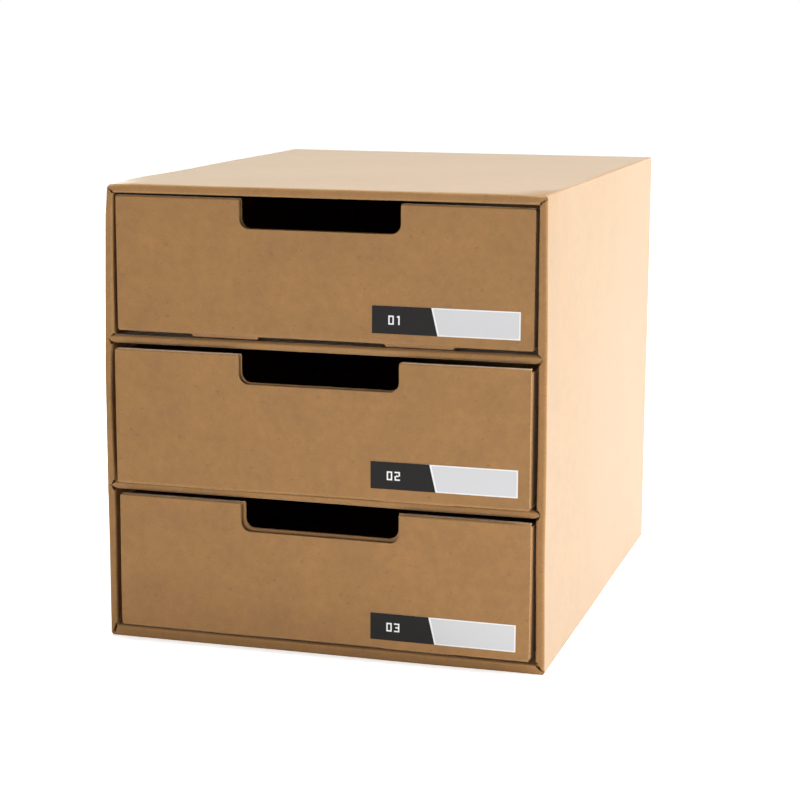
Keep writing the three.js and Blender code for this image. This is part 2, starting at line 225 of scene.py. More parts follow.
@dataclass(frozen=True)
class KraftPaper:
    """Unbleached kraft liner, the face of the board.

    It is matt brown paper made from long wood fibres. The eye sees a soft cloudiness, short dark and
    pale fibres, faint streaks along the flutes, and a pale bloom where it is seen at a shallow angle,
    because loose fibres stand up from it and its pressed surface shines there. Creases are paler, as
    the fibres open there. The fibres are drawn wider than real ones, which would be too fine to show.
    """

    name: str = "kraft_liner_paper"
    base: str = "#986c35"
    fibre_dark: str = "#70492a"
    fibre_pale: str = "#b98e5c"
    crease: str = "#ab8250"
    roughness: float = 0.62
    ior: float = 1.5
    bloom: float = 1.0
    bloom_tint: tuple[float, float, float, float] = (1.0, 0.955, 0.83, 1.0)  # in linear light
    bloom_roughness: float = 0.35
    tooth_strength: float = 0.25
    tooth_height: float = 0.05
    shades: tuple[Grain, ...] = (
        Grain(24.0, 24.0, 3.1, (0.3, 0.7), (0.94, 1.06)),  # clouds of the paper's formation
        Grain(5.0, 5.0, 11.7, (0.3, 0.7), (0.93, 1.07)),  # smaller clouds
        Grain(5.5, 160.0, 5.9, (0.3, 0.7), (0.985, 1.015), 1.0),  # faint streaks along the flutes
    )
    dark_fibres: tuple[Grain, ...] = (
        Grain(0.5, 2.2, 23.0, (0.68, 0.8), (0.0, 0.3), 0.0),
        Grain(2.2, 0.5, 31.0, (0.7, 0.82), (0.0, 0.3), 0.0),
        Grain(2.4, 3.2, 83.0, (0.74, 0.84), (0.0, 0.35), 0.0),  # a few dark flecks
    )
    pale_fibres: Grain = Grain(0.5, 2.2, 47.0, (0.68, 0.82), (0.0, 0.25), 0.0)
    opened: Grain = Grain(1.2, 1.2, 61.0, (0.35, 0.65), (0.05, 0.4))  # where a crease has opened the fibres
    tooth: Grain = Grain(0.9, 0.55, 71.0, (0.0, 1.0), (0.0, 1.0))  # the paper's fine roughness

    def material(self) -> bpy.types.Material:
        """Builds the paper's material.

        Returns:
            A new material that reads the sheet's own flat coordinates.
        """
        even = {
            "Roughness": self.roughness,
            "IOR": self.ior,
            "Sheen Weight": self.bloom,
            "Sheen Roughness": self.bloom_roughness,
            "Sheen Tint": self.bloom_tint,
        }
        result, tree, shader = start_finish(self.name, even)
        flat = add_node(tree, "ShaderNodeUVMap", {"uv_map": "flat"}).outputs["UV"]
        creased = add_node(tree, "ShaderNodeAttribute", {"attribute_name": "crease"}).outputs["Fac"]

        colour = add_node(tree, "ShaderNodeRGB").outputs[0]
        colour.default_value = linear(self.base)
        for shade in self.shades:
            links = {0: colour, "Scale": shade.add_to(tree, flat)}
            colour = add_node(tree, "ShaderNodeVectorMath", {"operation": "SCALE"}, links).outputs["Vector"]
        layers = [(grain.add_to(tree, flat), self.fibre_dark) for grain in self.dark_fibres]
        layers.append((self.pale_fibres.add_to(tree, flat), self.fibre_pale))
        broken = {0: creased, 1: self.opened.add_to(tree, flat)}
        layers.append((add_node(tree, "ShaderNodeMath", {"operation": "MULTIPLY"}, broken).outputs[0], self.crease))
        for amount, over in layers:
            links = {"Factor": amount, 6: colour}
            colour = add_node(tree, "ShaderNodeMix", {"data_type": "RGBA", 7: linear(over)}, links).outputs[2]
        tree.links.new(colour, shader.inputs["Base Color"])

        relief = {"Strength": self.tooth_strength, "Distance": self.tooth_height * MM}
        bump = add_node(tree, "ShaderNodeBump", relief, {"Height": self.tooth.add_to(tree, flat)})
        tree.links.new(bump.outputs["Normal"], shader.inputs["Normal"])
        return result


@dataclass(frozen=True)
class CutEdge:
    """The cut edge of the paper faces and the core: soft, paler and rougher than the face."""

    name: str = "die_cut_board_edge"  # the material's name
    base: str = "#cba77a"  # its colour
    roughness: float = 0.85  # its roughness
    grain: float = 0.8  # size in mm of the torn grain that the knife leaves
    tones: Flat = (0.88, 1.1)  # how dark and how pale that grain is

    def material(self) -> bpy.types.Material:
        """Builds the cut edge's material.

        Returns:
            A new plain material with a fine torn grain.
        """
        result, tree, shader = start_finish(self.name, {"Roughness": self.roughness})
        place = add_node(tree, "ShaderNodeTexCoord").outputs["Object"]
        kind = {"Scale": 1 / (self.grain * MM), "Detail": 1.0}
        noise = add_node(tree, "ShaderNodeTexNoise", kind, {"Vector": place}).outputs["Fac"]
        span = {"From Min": 0.3, "From Max": 0.7, "To Min": self.tones[0], "To Max": self.tones[1]}
        tone = add_node(tree, "ShaderNodeMapRange", span, {"Value": noise}).outputs["Result"]
        toned = {"operation": "SCALE", 0: linear(self.base)[:3]}
        colour = add_node(tree, "ShaderNodeVectorMath", toned, {"Scale": tone}).outputs["Vector"]
        tree.links.new(colour, shader.inputs["Base Color"])
        return result


@dataclass(frozen=True)
class PrintedPaper:
    """Smooth coated label paper with an even layer of ink, a little glossy."""

    name: str
    base: str
    roughness: float = 0.55
    gloss: float = 0.2

    def material(self) -> bpy.types.Material:
        """Builds the ink's material."""
        even = {"Base Color": linear(self.base), "Roughness": self.roughness, "Specular IOR Level": self.gloss}
        return start_finish(self.name, even)[0]


BOARD_FINISHES = {
    Face.OUTER: KraftPaper(),
    # the inside paper, with little sheen: the board's real inner face, and painted shade on outer faces inside the
    # box, which darkens the gaps
    Face.INNER: KraftPaper(name="kraft_liner_paper_inside_and_painted_shade", base="#9a6d39", bloom=0.25),
    Face.EDGE: CutEdge(),
    Face.CORE: CutEdge(name="fluted_core_paper", base="#a37c50"),
}
LABEL_FINISHES = {
    Ink.WHITE: PrintedPaper("coated_label_paper", "#ececed"),
    Ink.DARK: PrintedPaper("dark_label_ink", "#151211"),
    Ink.GREY: PrintedPaper("grey_label_ink", "#cfcfd1"),
}


class Finishes:
    """The materials of the whole box, each made once."""

    def __init__(self) -> None:
        """Makes the materials, in the order of Face and of Ink."""
        self.board = [finish.material() for finish in BOARD_FINISHES.values()]
        self.label = [finish.material() for finish in LABEL_FINISHES.values()]


# Meshes


@dataclass
class Mesh:
    """Points and faces of one piece, gathered until the piece is made."""

    points: list[Vector] = field(default_factory=list)  # its points in mm
    creases: list[float] = field(default_factory=list)  # how much of a crease there is at each point
    faces: list[tuple[int, ...]] = field(default_factory=list)  # the point numbers of each face
    looks: list[int] = field(default_factory=list)  # the number of each face's finish
    flats: list[tuple[Flat, ...]] = field(default_factory=list)  # each face's flat coordinates in mm
    sharp: float = 38.0  # angle in degrees from which an edge is sharp

    def add_point(self, point: Vector, crease: float = 0.0) -> int:
        """Adds a point and returns its number.

        Args:
            point: the point in mm.
            crease: how much of a crease there is.

        Returns:
            The point's number.
        """
        self.points.append(point)
        self.creases.append(crease)
        return len(self.points) - 1

    def add_face(self, corners: Sequence[int], look: Enum, flat: Sequence[Flat]) -> None:
        """Adds a face with its finish and its flat coordinates.

        Args:
            corners: its point numbers.
            look: its finish.
            flat: the flat coordinates of its corners, in mm.
        """
        self.faces.append(tuple(corners))
        self.looks.append(look.value)
        self.flats.append(tuple(flat))

    def add_prism(self, outline: Sequence[Flat], near: float, far: float, look: Enum) -> None:
        """Adds an outline drawn in x and z as a prism between two places along y.

        Args:
            outline: the outline's points.
            near: y of its near end.
            far: y of its far end.
            look: its finish.
        """
        count = len(outline)
        first = len(self.points)
        for y in (near, far):
            for x, z in outline:
                self.add_point(Vector((x, y, z)))
        self.add_face([first + i for i in range(count)], look, outline)
        self.add_face([first + count + i for i in reversed(range(count))], look, outline[::-1])
        for i in range(count):
            j = (i + 1) % count
            ids = (first + i, first + count + i, first + count + j, first + j)
            self.add_face(ids, look, [outline[i], outline[i], outline[j], outline[j]])

    def make(self, name: str, finishes: Sequence[bpy.types.Material]) -> bpy.types.Object:
        """Makes the piece.

        Args:
            name: the piece's name.
            finishes: the materials, in the order of the faces' looks.

        Returns:
            A new object in the scene.
        """
        data = bpy.data.meshes.new(name)
        data.from_pydata([tuple(p * MM) for p in self.points], [], self.faces)
        data.polygons.foreach_set("material_index", self.looks)
        layer = data.uv_layers.new(name="flat")
        layer.data.foreach_set("uv", [v * MM for flat in self.flats for spot in flat for v in spot])
        crease = data.attributes.new("crease", "FLOAT", "POINT")
        crease.data.foreach_set("value", self.creases)
        for finish in finishes:
            data.materials.append(finish)
        work = bmesh.new()
        work.from_mesh(data)
        bmesh.ops.recalc_face_normals(work, faces=work.faces)
        work.to_mesh(data)
        work.free()
        data.shade_smooth()
        data.set_sharp_from_angle(angle=math.radians(self.sharp))
        data.validate()
        return add_to_scene(name, data)


# Folded sheets


class Leg(NamedTuple):
    """A straight part or an arc of a section."""

    start: float  # distance along the sheet at which it starts
    end: float  # distance at which it ends
    point: Vector  # its first point
    run: Vector  # the way in which it sets out
    turn: float  # the angle through which it turns, 0 where it is straight


@dataclass
class Section:
    """The line that the middle of a folded sheet follows, seen along its creases."""

    corners: Sequence[Flat]  # the line's corners, all of which but the ends are rounded
    radius: float = FOLD  # radius of the rounding
    steps: int = 9  # straight steps in a quarter turn
    margin: float = 0.5  # from a crease to the line that keeps it from spreading
    legs: list[Leg] = field(default_factory=list)  # its parts, in order
    length: float = 0.0  # its whole length

    def __post_init__(self) -> None:
        """Splits the line into straight legs and arcs."""
        points = [Vector(c) for c in self.corners]
        here = points[0]
        for before, point, after in zip(points, points[1:], points[2:]):
            run = (point - before).normalized()
            onward = (after - point).normalized()
            turn = math.atan2(run.x * onward.y - run.y * onward.x, run.dot(onward))
            cut = math.tan(abs(turn) / 2)
            stop = point - run * self.radius * cut
            self.add_leg(here, run, (stop - here).length, 0.0)
            self.add_leg(stop, run, self.radius * abs(turn), turn)
            here = point + onward * self.radius * cut
        self.add_leg(here, (points[-1] - points[-2]).normalized(), (points[-1] - here).length, 0.0)

    def add_leg(self, point: Vector, run: Vector, length: float, turn: float) -> None:
        """Adds a leg, unless it has no length.

        Args:
            point: its first point.
            run: the way in which it sets out.
            length: its length.
            turn: the angle through which it turns.
        """
        if length > 1e-6:
            self.legs.append(Leg(self.length, self.length + length, point, run, turn))
            self.length += length

    @property
    def folds(self) -> list[Leg]:
        """The arcs."""
        return [leg for leg in self.legs if leg.turn]

    def spot(self, s: float, n: float) -> Vector:
        """A place of the bent sheet. The inner side of a fold is crushed, so it never gets past its centre.

        Args:
            s: distance along the sheet.
            n: height above the middle of the board.

        Returns:
            The place in the section's plane.
        """
        leg = next((leg for leg in self.legs if s <= leg.end), self.legs[-1])
        outward = Vector((leg.run.y, -leg.run.x))
        if leg.turn == 0.0:
            return leg.point + leg.run * (s - leg.start) + outward * n
        side = math.copysign(1.0, leg.turn)
        centre = leg.point - outward * side * self.radius
        outward.rotate(Matrix.Rotation(leg.turn * (s - leg.start) / (leg.end - leg.start), 2))
        return centre + outward * side * max(CRUSHED_FOLD, self.radius + side * n)

    def lines(self) -> list[float]:
        """Distances along the sheet at which a line has to cross it, so that it bends there.

        Returns:
            The distances in order.
        """
        found = {0.0, self.length}
        for start, end, _, _, turn in self.folds:
            count = max(2, round(self.steps * abs(turn) / (math.pi / 2)))
            found.update(start + (end - start) * i / count for i in range(count + 1))
            found.update((start - self.margin, end + self.margin))
        return sorted(s for s in found if -1e-9 <= s <= self.length + 1e-9)

    def crease(self, s: float) -> float:
        """How much of a crease there is at a distance along the sheet, from 0 to 1.

        Args:
            s: the distance.

        Returns:
            1 on a square fold, less on a slighter one and 0 off the folds.
        """
        for leg in self.folds:
            if leg.start - OPENED <= s <= leg.end + OPENED:
                return min(1.0, abs(leg.turn) / (math.pi / 2))
        return 0.0


def inside(point: Flat, loops: Sequence[Sequence[Flat]]) -> bool:
    """Whether a flat point lies in the first loop and in none of the holes.

    Args:
        point: the point.
        loops: the outline and its holes.

    Returns:
        True if it does.
    """
    x, y = point
    crossings = 0
    for loop in loops:
        for i, (x0, y0) in enumerate(loop):
            x1, y1 = loop[i - 1]
            if (y0 > y) != (y1 > y) and x < (x1 - x0) * (y - y0) / (y1 - y0) + x0:
                crossings += 1
    return crossings % 2 == 1


@dataclass
class Sheet:
    """One sheet of corrugated board with its cuts and creases."""

    section: Section  # the line that it follows
    outline: Sequence[Flat]  # its edge when flat, as (across, along) points
    place: Place  # turns (across, section x, section y) into a point of the box
    holes: Sequence[Sequence[Flat]] = ()  # cuts inside the outline
    flutes: Flutes = Flutes.ACROSS  # which way the core's waves run
    # straight cut edges, as pairs of flat points, where the waves of the core show
    cut_edges: Sequence[tuple[Flat, Flat]] = ()
    shift: Shift = lambda u, s: 0.0  # how far the sheet bows out of its plane, by its flat coordinates
    bend: Bend = lambda p: p  # a change of the finished points
    # tells by the distance along the sheet where its outer face lies inside the box, where it gets the inside paper
    # with little sheen as painted shade
    painted_shade: Callable[[float], bool] = lambda s: False
    grid: float = 16.0  # spacing of the lines that let it bow
    origin: Flat = (0.0, 0.0)  # where its paper pattern starts

    def point(self, u: float, s: float, n: float) -> Vector:
        """A point of the bent sheet at a height above the middle of the board."""
        spot = self.section.spot(s, n + self.shift(u, s))
        return self.bend(self.place(u, spot.x, spot.y))

    def kept_on(self, s: float) -> float:
        """A distance along the sheet, kept between its two ends."""
        return min(max(s, 0.0), self.section.length)

    def flat(self, u: float, s: float) -> Flat:
        """The paper pattern's coordinates: across the waves first, then along them."""
        u, s = u + self.origin[0], s + self.origin[1]
        return (s, u) if self.flutes is Flutes.ACROSS else (u, s)

    def rules(self) -> list[tuple[Flat, Flat]]:
        """The lines of creases and grid that the triangles follow, a little longer than the sheet.

        Returns:
            Pairs of flat points.
        """
        over = 2
        us, ss = zip(*self.outline)
        left, right, low, high = min(us), max(us), min(ss), max(ss)
        levels = [s for s in self.section.lines() if low <= s <= high]
        bounds = [low, *levels, high]
        for a, b in zip(bounds, bounds[1:]):
            count = int((b - a) // self.grid)
            levels += [a + (b - a) * i / (count + 1) for i in range(1, count + 1)]
        found = [((left - over, s), (right + over, s)) for s in levels]
        count = max(1, int((right - left) // self.grid))
        for i in range(1, count):
            u = left + (right - left) * i / count
            found.append(((u, low - over), (u, high + over)))
        return found

    def triangles(self) -> tuple[list[Flat], list[tuple[int, int, int]]]:
        """Divides the flat sheet into triangles along its cuts, creases and grid.

        Returns:
            The flat points and the triangles, which run anticlockwise.
        """
        loops = [list(self.outline), *[list(h) for h in self.holes]]
        points: list[Flat] = []
        edges: list[tuple[int, int]] = []
        for loop in loops:
            first = len(points)
            points += loop
            edges += [(first + i, first + (i + 1) % len(loop)) for i in range(len(loop))]
        for ends in self.rules():
            points += ends
            edges.append((len(points) - 2, len(points) - 1))
        made = delaunay_2d_cdt([Vector(p) for p in points], edges, [], 0, 1e-5)
        flat = [(p.x, p.y) for p in made[0]]
        kept = []
        for face in made[2]:
            a, b, c = (flat[i] for i in face)
            area = (b[0] - a[0]) * (c[1] - a[1]) - (b[1] - a[1]) * (c[0] - a[0])
            middle = ((a[0] + b[0] + c[0]) / 3, (a[1] + b[1] + c[1]) / 3)
            if abs(area) >= 1e-9 and inside(middle, loops):
                kept.append(tuple(face) if area > 0 else tuple(reversed(face)))
        return flat, kept

    def add_to(self, mesh: Mesh) -> None:
        """Adds the sheet to a mesh.

        Args:
            mesh: the mesh that gets the sheet.
        """
        flat, kept = self.triangles()
        top: dict[int, int] = {}
        bottom: dict[int, int] = {}
        for i in sorted({i for t in kept for i in t}):
            u, s = flat[i]
            mark = self.section.crease(s)
            top[i] = mesh.add_point(self.point(u, s, HALF), mark)
            bottom[i] = mesh.add_point(self.point(u, s, -HALF), mark)
        directed = set()
        for t in kept:
            # outer faces inside the box get the inside paper with little sheen: painted shade
            look = Face.INNER if self.painted_shade(sum(flat[i][1] for i in t) / 3) else Face.OUTER
            pattern = [self.flat(*flat[i]) for i in t]
            mesh.add_face([top[i] for i in t], look, pattern)
            mesh.add_face([bottom[i] for i in reversed(t)], Face.INNER, pattern[::-1])
            directed.update((t[k], t[(k + 1) % 3]) for k in range(3))
        rim = sorted((a, b) for a, b in directed if (b, a) not in directed)
        self.add_rim(mesh, flat, rim, top, bottom)
        for start, end in self.cut_edges:
            self.add_wave(mesh, Vector(start), Vector(end))

    def add_rim(
        self, mesh: Mesh, flat: list[Flat], rim: list[tuple[int, int]], top: dict[int, int], bottom: dict[int, int]
    ) -> None:
        """Closes the sheet all round, with the core standing back between the two papers.

        Args:
            mesh: the mesh that gets the edge.
            flat: the flat points.
            rim: the edge as pairs of point numbers, with the sheet on their left.
            top: the mesh's point above each flat point.
            bottom: the mesh's point below each flat point.
        """
        inward: dict[int, list[Vector]] = {}
        for a, b in rim:
            run = (Vector(flat[b]) - Vector(flat[a])).normalized()
            for i in (a, b):
                inward.setdefault(i, []).append(Vector((-run.y, run.x)))
        levels = (HALF - PAPER, HALF - PAPER, PAPER - HALF, PAPER - HALF)
        rows: dict[int, list[int]] = {}
        spots: dict[int, list[Flat]] = {}
        for i, sides in inward.items():
            total = sides[0] + sides[-1]
            step = total / max(0.5, 1 + sides[0].dot(sides[-1])) if len(sides) > 1 else sides[0]
            u, s = flat[i]
            inner = (u + step.x * CORE_RECESS, self.kept_on(s + step.y * CORE_RECESS))
            places = ((u, s), inner, inner, (u, s))
            rows[i] = [top[i], *[mesh.add_point(self.point(*p, n)) for p, n in zip(places, levels)], bottom[i]]
            spots[i] = [(u, s), *places, (u, s)]
        looks = (Face.EDGE, Face.CORE, Face.CORE, Face.CORE, Face.EDGE)
        for a, b in rim:
            for k, look in enumerate(looks):
                ids = (rows[a][k], rows[a][k + 1], rows[b][k + 1], rows[b][k])
                around = (spots[a][k], spots[a][k + 1], spots[b][k + 1], spots[b][k])
                mesh.add_face(ids, look, [self.flat(*p) for p in around])

    def add_wave(self, mesh: Mesh, start: Vector, end: Vector) -> None:
        """Adds the wave of the core between the two papers of a cut edge.

        Args:
            mesh: the mesh that gets the wave.
            start: one end of the cut edge, with the sheet on the left of the way to the other end.
            end: the other end.
        """
        run = (end - start).normalized()
        inward = Vector((-run.y, run.x))
        length = (end - start).length
        thin = PAPER / 2
        swing = HALF - PAPER - thin
        count = max(4, round(length / FLUTE_PITCH * 8))
        no_pattern = [(0.0, 0.0)] * 4
        rows = []
        for i in range(count + 1):
            spot = start + run * (WAVE_END + (length - 2 * WAVE_END) * i / count)
            phase = 2 * math.pi * (spot.y if self.flutes is Flutes.ACROSS else spot.x) / FLUTE_PITCH
            level = swing * math.sin(phase)
            ring = ((WAVE_RECESS, thin), (CORE_RECESS, thin), (CORE_RECESS, -thin), (WAVE_RECESS, -thin))
            row = []
            for depth, n in ring:
                place = spot + inward * depth
                row.append(mesh.add_point(self.point(place.x, self.kept_on(place.y), level + n)))
            rows.append(row)
        for a, b in zip(rows, rows[1:]):
            for k in range(4):
                ids = (a[k], a[(k + 1) % 4], b[(k + 1) % 4], b[k])
                mesh.add_face(ids, Face.EDGE, no_pattern)
        mesh.add_face(rows[0], Face.EDGE, no_pattern)
        mesh.add_face(rows[-1][::-1], Face.EDGE, no_pattern)


def fold(name: str, finishes: Finishes, *sheets: Sheet) -> bpy.types.Object:
    """Makes one piece of board from the sheets that it is folded of.

    Args:
        name: the piece's name.
        finishes: the materials.
        sheets: the sheets.

    Returns:
        A new object in the scene.
    """
    mesh = Mesh()
    for sheet in sheets:
        sheet.add_to(mesh)
    return mesh.make(name, finishes.board)


def ripple(seed: int, amount: float, size: float) -> Shift:
    """A slow, seeded unevenness of a sheet of board.

    Args:
        seed: picks the ripple.
        amount: about its largest height in mm.
        size: about the distance in mm between its crests.

    Returns:
        A function of the flat coordinates.
    """
    chance = random.Random(seed)
    waves = []
    for _ in range(4):
        angle = chance.uniform(0, math.pi)
        pace = 2 * math.pi / (size * chance.uniform(0.8, 1.7))
        waves.append((math.cos(angle) * pace, math.sin(angle) * pace, chance.uniform(0, 2 * math.pi)))
    return lambda u, s: amount / 2.2 * sum(math.sin(a * u + b * s + c) for a, b, c in waves)


def arc(centre: Flat, radius: float, start: float, end: float, steps: int) -> list[Flat]:
    """Points along an arc, both ends included, with its angles in degrees."""
    angles = [math.radians(start + (end - start) * i / steps) for i in range(steps + 1)]
    return [(centre[0] + radius * math.cos(a), centre[1] + radius * math.sin(a)) for a in angles]


def rectangle(left: float, low: float, right: float, high: float) -> list[Flat]:
    """The corners of a rectangle."""
    return [(left, low), (right, low), (right, high), (left, high)]


def mirrored(half: list[Flat]) -> list[Flat]:
    """A half outline, followed by its mirror image on the other side, as one ring."""
    return [*half, *[(-u, s) for u, s in reversed(half)]]


def onto_yz(u: float, a: float, b: float) -> Vector:
    """Places a section drawn in y and z."""
    return Vector((u, a, b))


def onto_xz(u: float, a: float, b: float) -> Vector:
    """Places a section drawn in x and z."""
    return Vector((a, u, b))


def onto_xy(u: float, a: float, b: float) -> Vector:
    """Places a section drawn in x and y."""
    return Vector((a, b, u))


# Sizes shared by the pieces


def read(table: Table, place: float) -> float:
    """Reads a table of places and values, straight between its rows and level beyond its ends.

    Args:
        table: places in rising order, each with its value.
        place: where it is read.

    Returns:
        The value there.
    """
    if place <= table[0][0]:
        return table[0][1]
    for (start, first), (end, second) in zip(table, table[1:]):
        if place <= end:
            return first + (second - first) * (place - start) / (end - start)
    return table[-1][1]


def share(value: float, start: float, end: float) -> float:
    """How far a value has come from start to end, from 0 to 1."""
    return min(1.0, max(0.0, (value - start) / (end - start)))


@dataclass(frozen=True)
class BoxSizes:
    """Outside of the case, read from the frame, and its rims and bays."""

    half_width: float
    front: float
    back: float
    height: float
    bay_half_width: float
    bays: tuple[Flat, ...]

    @property
    def rim(self) -> float:
        """Width of the side rims."""
        return self.half_width - self.bay_half_width

    def level_rim(self, at_top: bool) -> float:
        """Height of the top or the bottom rim."""
        return self.height - self.bays[-1][1] if at_top else self.bays[0][0]

    def behind_front(self, y: float, span: Flat) -> float:
        """How far a place has come through a span behind the front, from 0 to 1."""
        return share(y, self.front + span[0], self.front + span[1])


def node_box(name: str) -> tuple[Vector, Vector]:
    """The lowest and highest corner of a CAD node, in millimetres."""
    low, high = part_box(name)
    return low / MM, high / MM


def read_sizes() -> BoxSizes:
    """Reads the case's sizes from the frame, in millimetres.

    Returns:
        The sizes.
    """
    low, high = node_box("case_wrap")
    linings = [node_box(f"right_lining_{tier}") for tier in TIERS]
    bays = tuple((lining[0].z - SEAT, lining[1].z + SEAT) for lining in linings)
    return BoxSizes(high.x, low.y, high.y, high.z, linings[-1][0].x, bays)


# The case


@dataclass(frozen=True)
class SideShape:
    """How one thin side of the case stands, as measured up its front edge."""

    lean: Table  # heights, and how far the wall stands out of true there
    # for each bay, heights and the width of the rolled edge, which is pressed flatter in places
    rims: tuple[Table, ...]
    back_lean: float  # how far the wall stands out at the back


@dataclass(frozen=True)
class Mitre:
    """How two rolled edges end at one front corner of the case."""

    level_in: float  # how far the level edge's tip stands in from the side
    level_off: float  # how far that tip stands from the top or the bottom
    side_off: float  # how far the side edge's tip stands from the top or the bottom
    gap: float = 0.3  # opening between the two at the tips' inner end
    round: float = OUTSIDE_FOLD  # radius to which the board has slumped at the corner


SIDE_SHAPES = {
    Side.LEFT: SideShape(
        lean=(
            (0.0, 1.2), (60.0, 1.3), (94.0, 1.6), (155.0, 1.35),
            (178.0, 0.65), (205.0, 0.0), (242.0, -1.1), (254.0, -1.4),
        ),
        rims=(
            ((7.0, 4.1), (40.0, 4.3), (60.0, 4.8), (84.0, 4.7)),
            ((89.0, 4.8), (120.0, 4.1), (140.0, 3.7), (167.0, 4.5)),
            ((171.0, 5.6), (205.0, 4.8), (242.0, 4.6)),
        ),
        back_lean=0.8,
    ),
    Side.RIGHT: SideShape(
        lean=(
            (0.0, 1.6), (12.0, 1.4), (40.0, 1.1), (60.0, 0.6), (120.0, 0.7),
            (178.0, 0.3), (205.0, 0.0), (225.0, -0.45), (254.0, -0.6),
        ),
        rims=(((7.0, 4.7),), ((89.0, 4.6),), ((171.0, 5.1), (205.0, 4.8), (242.0, 4.3))),
        back_lean=0.0,
    ),
}
MITRES = {
    (Side.LEFT, True): Mitre(0.3, 1.1, 2.1, round=5.0),
    (Side.RIGHT, True): Mitre(0.1, 1.4, 2.8, round=3.2),
    (Side.LEFT, False): Mitre(3.0, 0.2, 1.2, gap=0.7),
    (Side.RIGHT, False): Mitre(0.3, 1.0, 2.4),
}


@dataclass
class Case:
    """The case: four walls, rolled front edges that run on as inner linings, two shelves and the back."""

    sizes: BoxSizes  # the case's sizes
    finishes: Finishes  # the materials
    vee_depth: float = 2.4  # depth of the V where a shelf meets the side rims
    vee_flare: float = 1.2  # how far the V opens above and below the shelf
    slit: float = 0.15  # slit between two side rims beyond the V
    tip_play: float = 0.6  # from a shelf's point to the bottom of the V
    tip_length: float = 3.0  # length of a shelf's pointed end
    tip_blunt: float = 0.8  # height of the very end of the point
    mitre_blunt: float = 0.15  # length of the blunt end of a mitre
    lining_corner: float = 4.0  # how much is cut off a lining's back corners
    flap_taper: float = 9.0  # how much narrower a back flap is at each end of its free edge
    flange_start: float = 12.0  # from the front to a shelf's flange
    slump: float = 0.9  # how far the bottom's rolled edge lies below its lining
    slump_tilt: float = 0.5  # how much more it does so towards the right
    step_back: float = 1.5  # how far a side lining stands back behind its rolled edge
    step_from: Flat = (0.0, 1.6)  # where, behind the crease, it steps back
    step_to: Flat = (7.0, 12.0)  # where it comes forward again
    crush: float = 0.3  # how far a shelf's nose is pressed in along its middle
    crush_width: float = 0.5  # about the width of that dent
    closing: float = 0.65  # how far a shelf's leaves come together behind the nose
    closing_length: float = 5.0  # length over which they do
    press_fade: Flat = (3.0, 20.0)  # where, behind the front, the pressing of the side rims fades
    round_fade: Flat = (6.0, 40.0)  # where the slumped long edges get sharp again
    sag_fade: Flat = (3.0, 14.0)  # where the sag of the bottom's rolled edge fades
    lean_reach: Flat = (-6.0, -1.0)  # how far inside the side rims the lean starts and is whole

    @property
    def fold_start(self) -> float:
        """Where the front creases start on the walls."""
        return self.sizes.front + OUTSIDE_FOLD

    @property
    def lining_end(self) -> float:
        """How far back the linings and shelves reach."""
        return node_box("top_lining")[1].y

    def settle(self, point: Vector, tier: int) -> Vector:
        """Where a point comes to lie, as the thin sides lean and their rolled edges are pressed flat.

        Args:
            point: the point of a true case.
            tier: the bay whose rolled edges it goes with.

        Returns:
            The moved point.
        """
        box = self.sizes
        side = Side.of(point)
        shape = SIDE_SHAPES[side]
        off = abs(point.x)
        back = share(point.y, box.front, box.back)
        out = read(shape.lean, point.z) * (1 - back) + shape.back_lean * back
        inner = 1 - share(off, box.bay_half_width + BOARD, box.half_width - BOARD)
        fade = 1 - box.behind_front(point.y, self.press_fade)
        press = (box.rim - read(shape.rims[tier], point.z)) * inner * fade
        reach = share(off, box.bay_half_width + self.lean_reach[0], box.bay_half_width + self.lean_reach[1])
        return self.slumped(point) + Vector((side * reach * (out + press), 0.0, 0.0))

    def slumped(self, point: Vector) -> Vector:
        """Rounds the case's long edges further near the front, where the board has given way.

        Args:
            point: a point of the true case.

        Returns:
            The moved point.
        """
        box = self.sizes
        side = Side.of(point)
        radius = MITRES[side, point.z > box.height / 2].round
        fade = 1 - box.behind_front(point.y, self.round_fade)
        across = abs(point.x) - (box.half_width - radius)
        up = point.z - (box.height - radius)
        if radius <= OUTSIDE_FOLD or fade <= 0 or across <= 0 or up <= 0:
            return point
        far = math.hypot(across, up)
        cosine, sine = across / far, up / far
        straight = radius - OUTSIDE_FOLD
        middle = straight * (cosine + sine)
        edge = radius / max(cosine, sine)
        if edge * min(cosine, sine) > straight:
            edge = middle + math.sqrt(max(0.0, middle**2 - 2 * straight**2 + OUTSIDE_FOLD**2))
        scale = 1 + (radius / edge - 1) * fade
        x = side * (box.half_width - radius + across * scale)
        return Vector((x, point.y, box.height - radius + up * scale))

    def build(self) -> list[bpy.types.Object]:
        """Builds the case.

        Returns:
            The finished pieces, each riding on the case.
        """
        pieces = [self.wrap(), self.back(), *[self.back_flap(side) for side in Side]]
        for i, name in enumerate(("lower", "upper")):
            pieces.append(self.shelf(name, self.sizes.bays[i][1], self.sizes.bays[i + 1][0], i))
        for piece in pieces:
            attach(piece, "case")
            log.info("case piece %s: %d faces", piece.name, len(piece.data.polygons))
        return pieces

    def wrap(self) -> bpy.types.Object:
        """Builds the walls, the rolled front edges and the linings, which are one blank.

        Returns:
            The finished piece.
        """
        level = [self.level_flap(at_top) for at_top in (False, True)]
        upright = [self.side_flap(side, tier) for side in Side for tier in range(len(TIERS))]
        result = fold("case_blank", self.finishes, self.walls(), *level, *upright)
        linings = [f"{side}_lining_{tier}" for side in ("left", "right") for tier in TIERS]
        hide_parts("case_wrap", "top_lining", "bottom_lining", *linings)
        return result

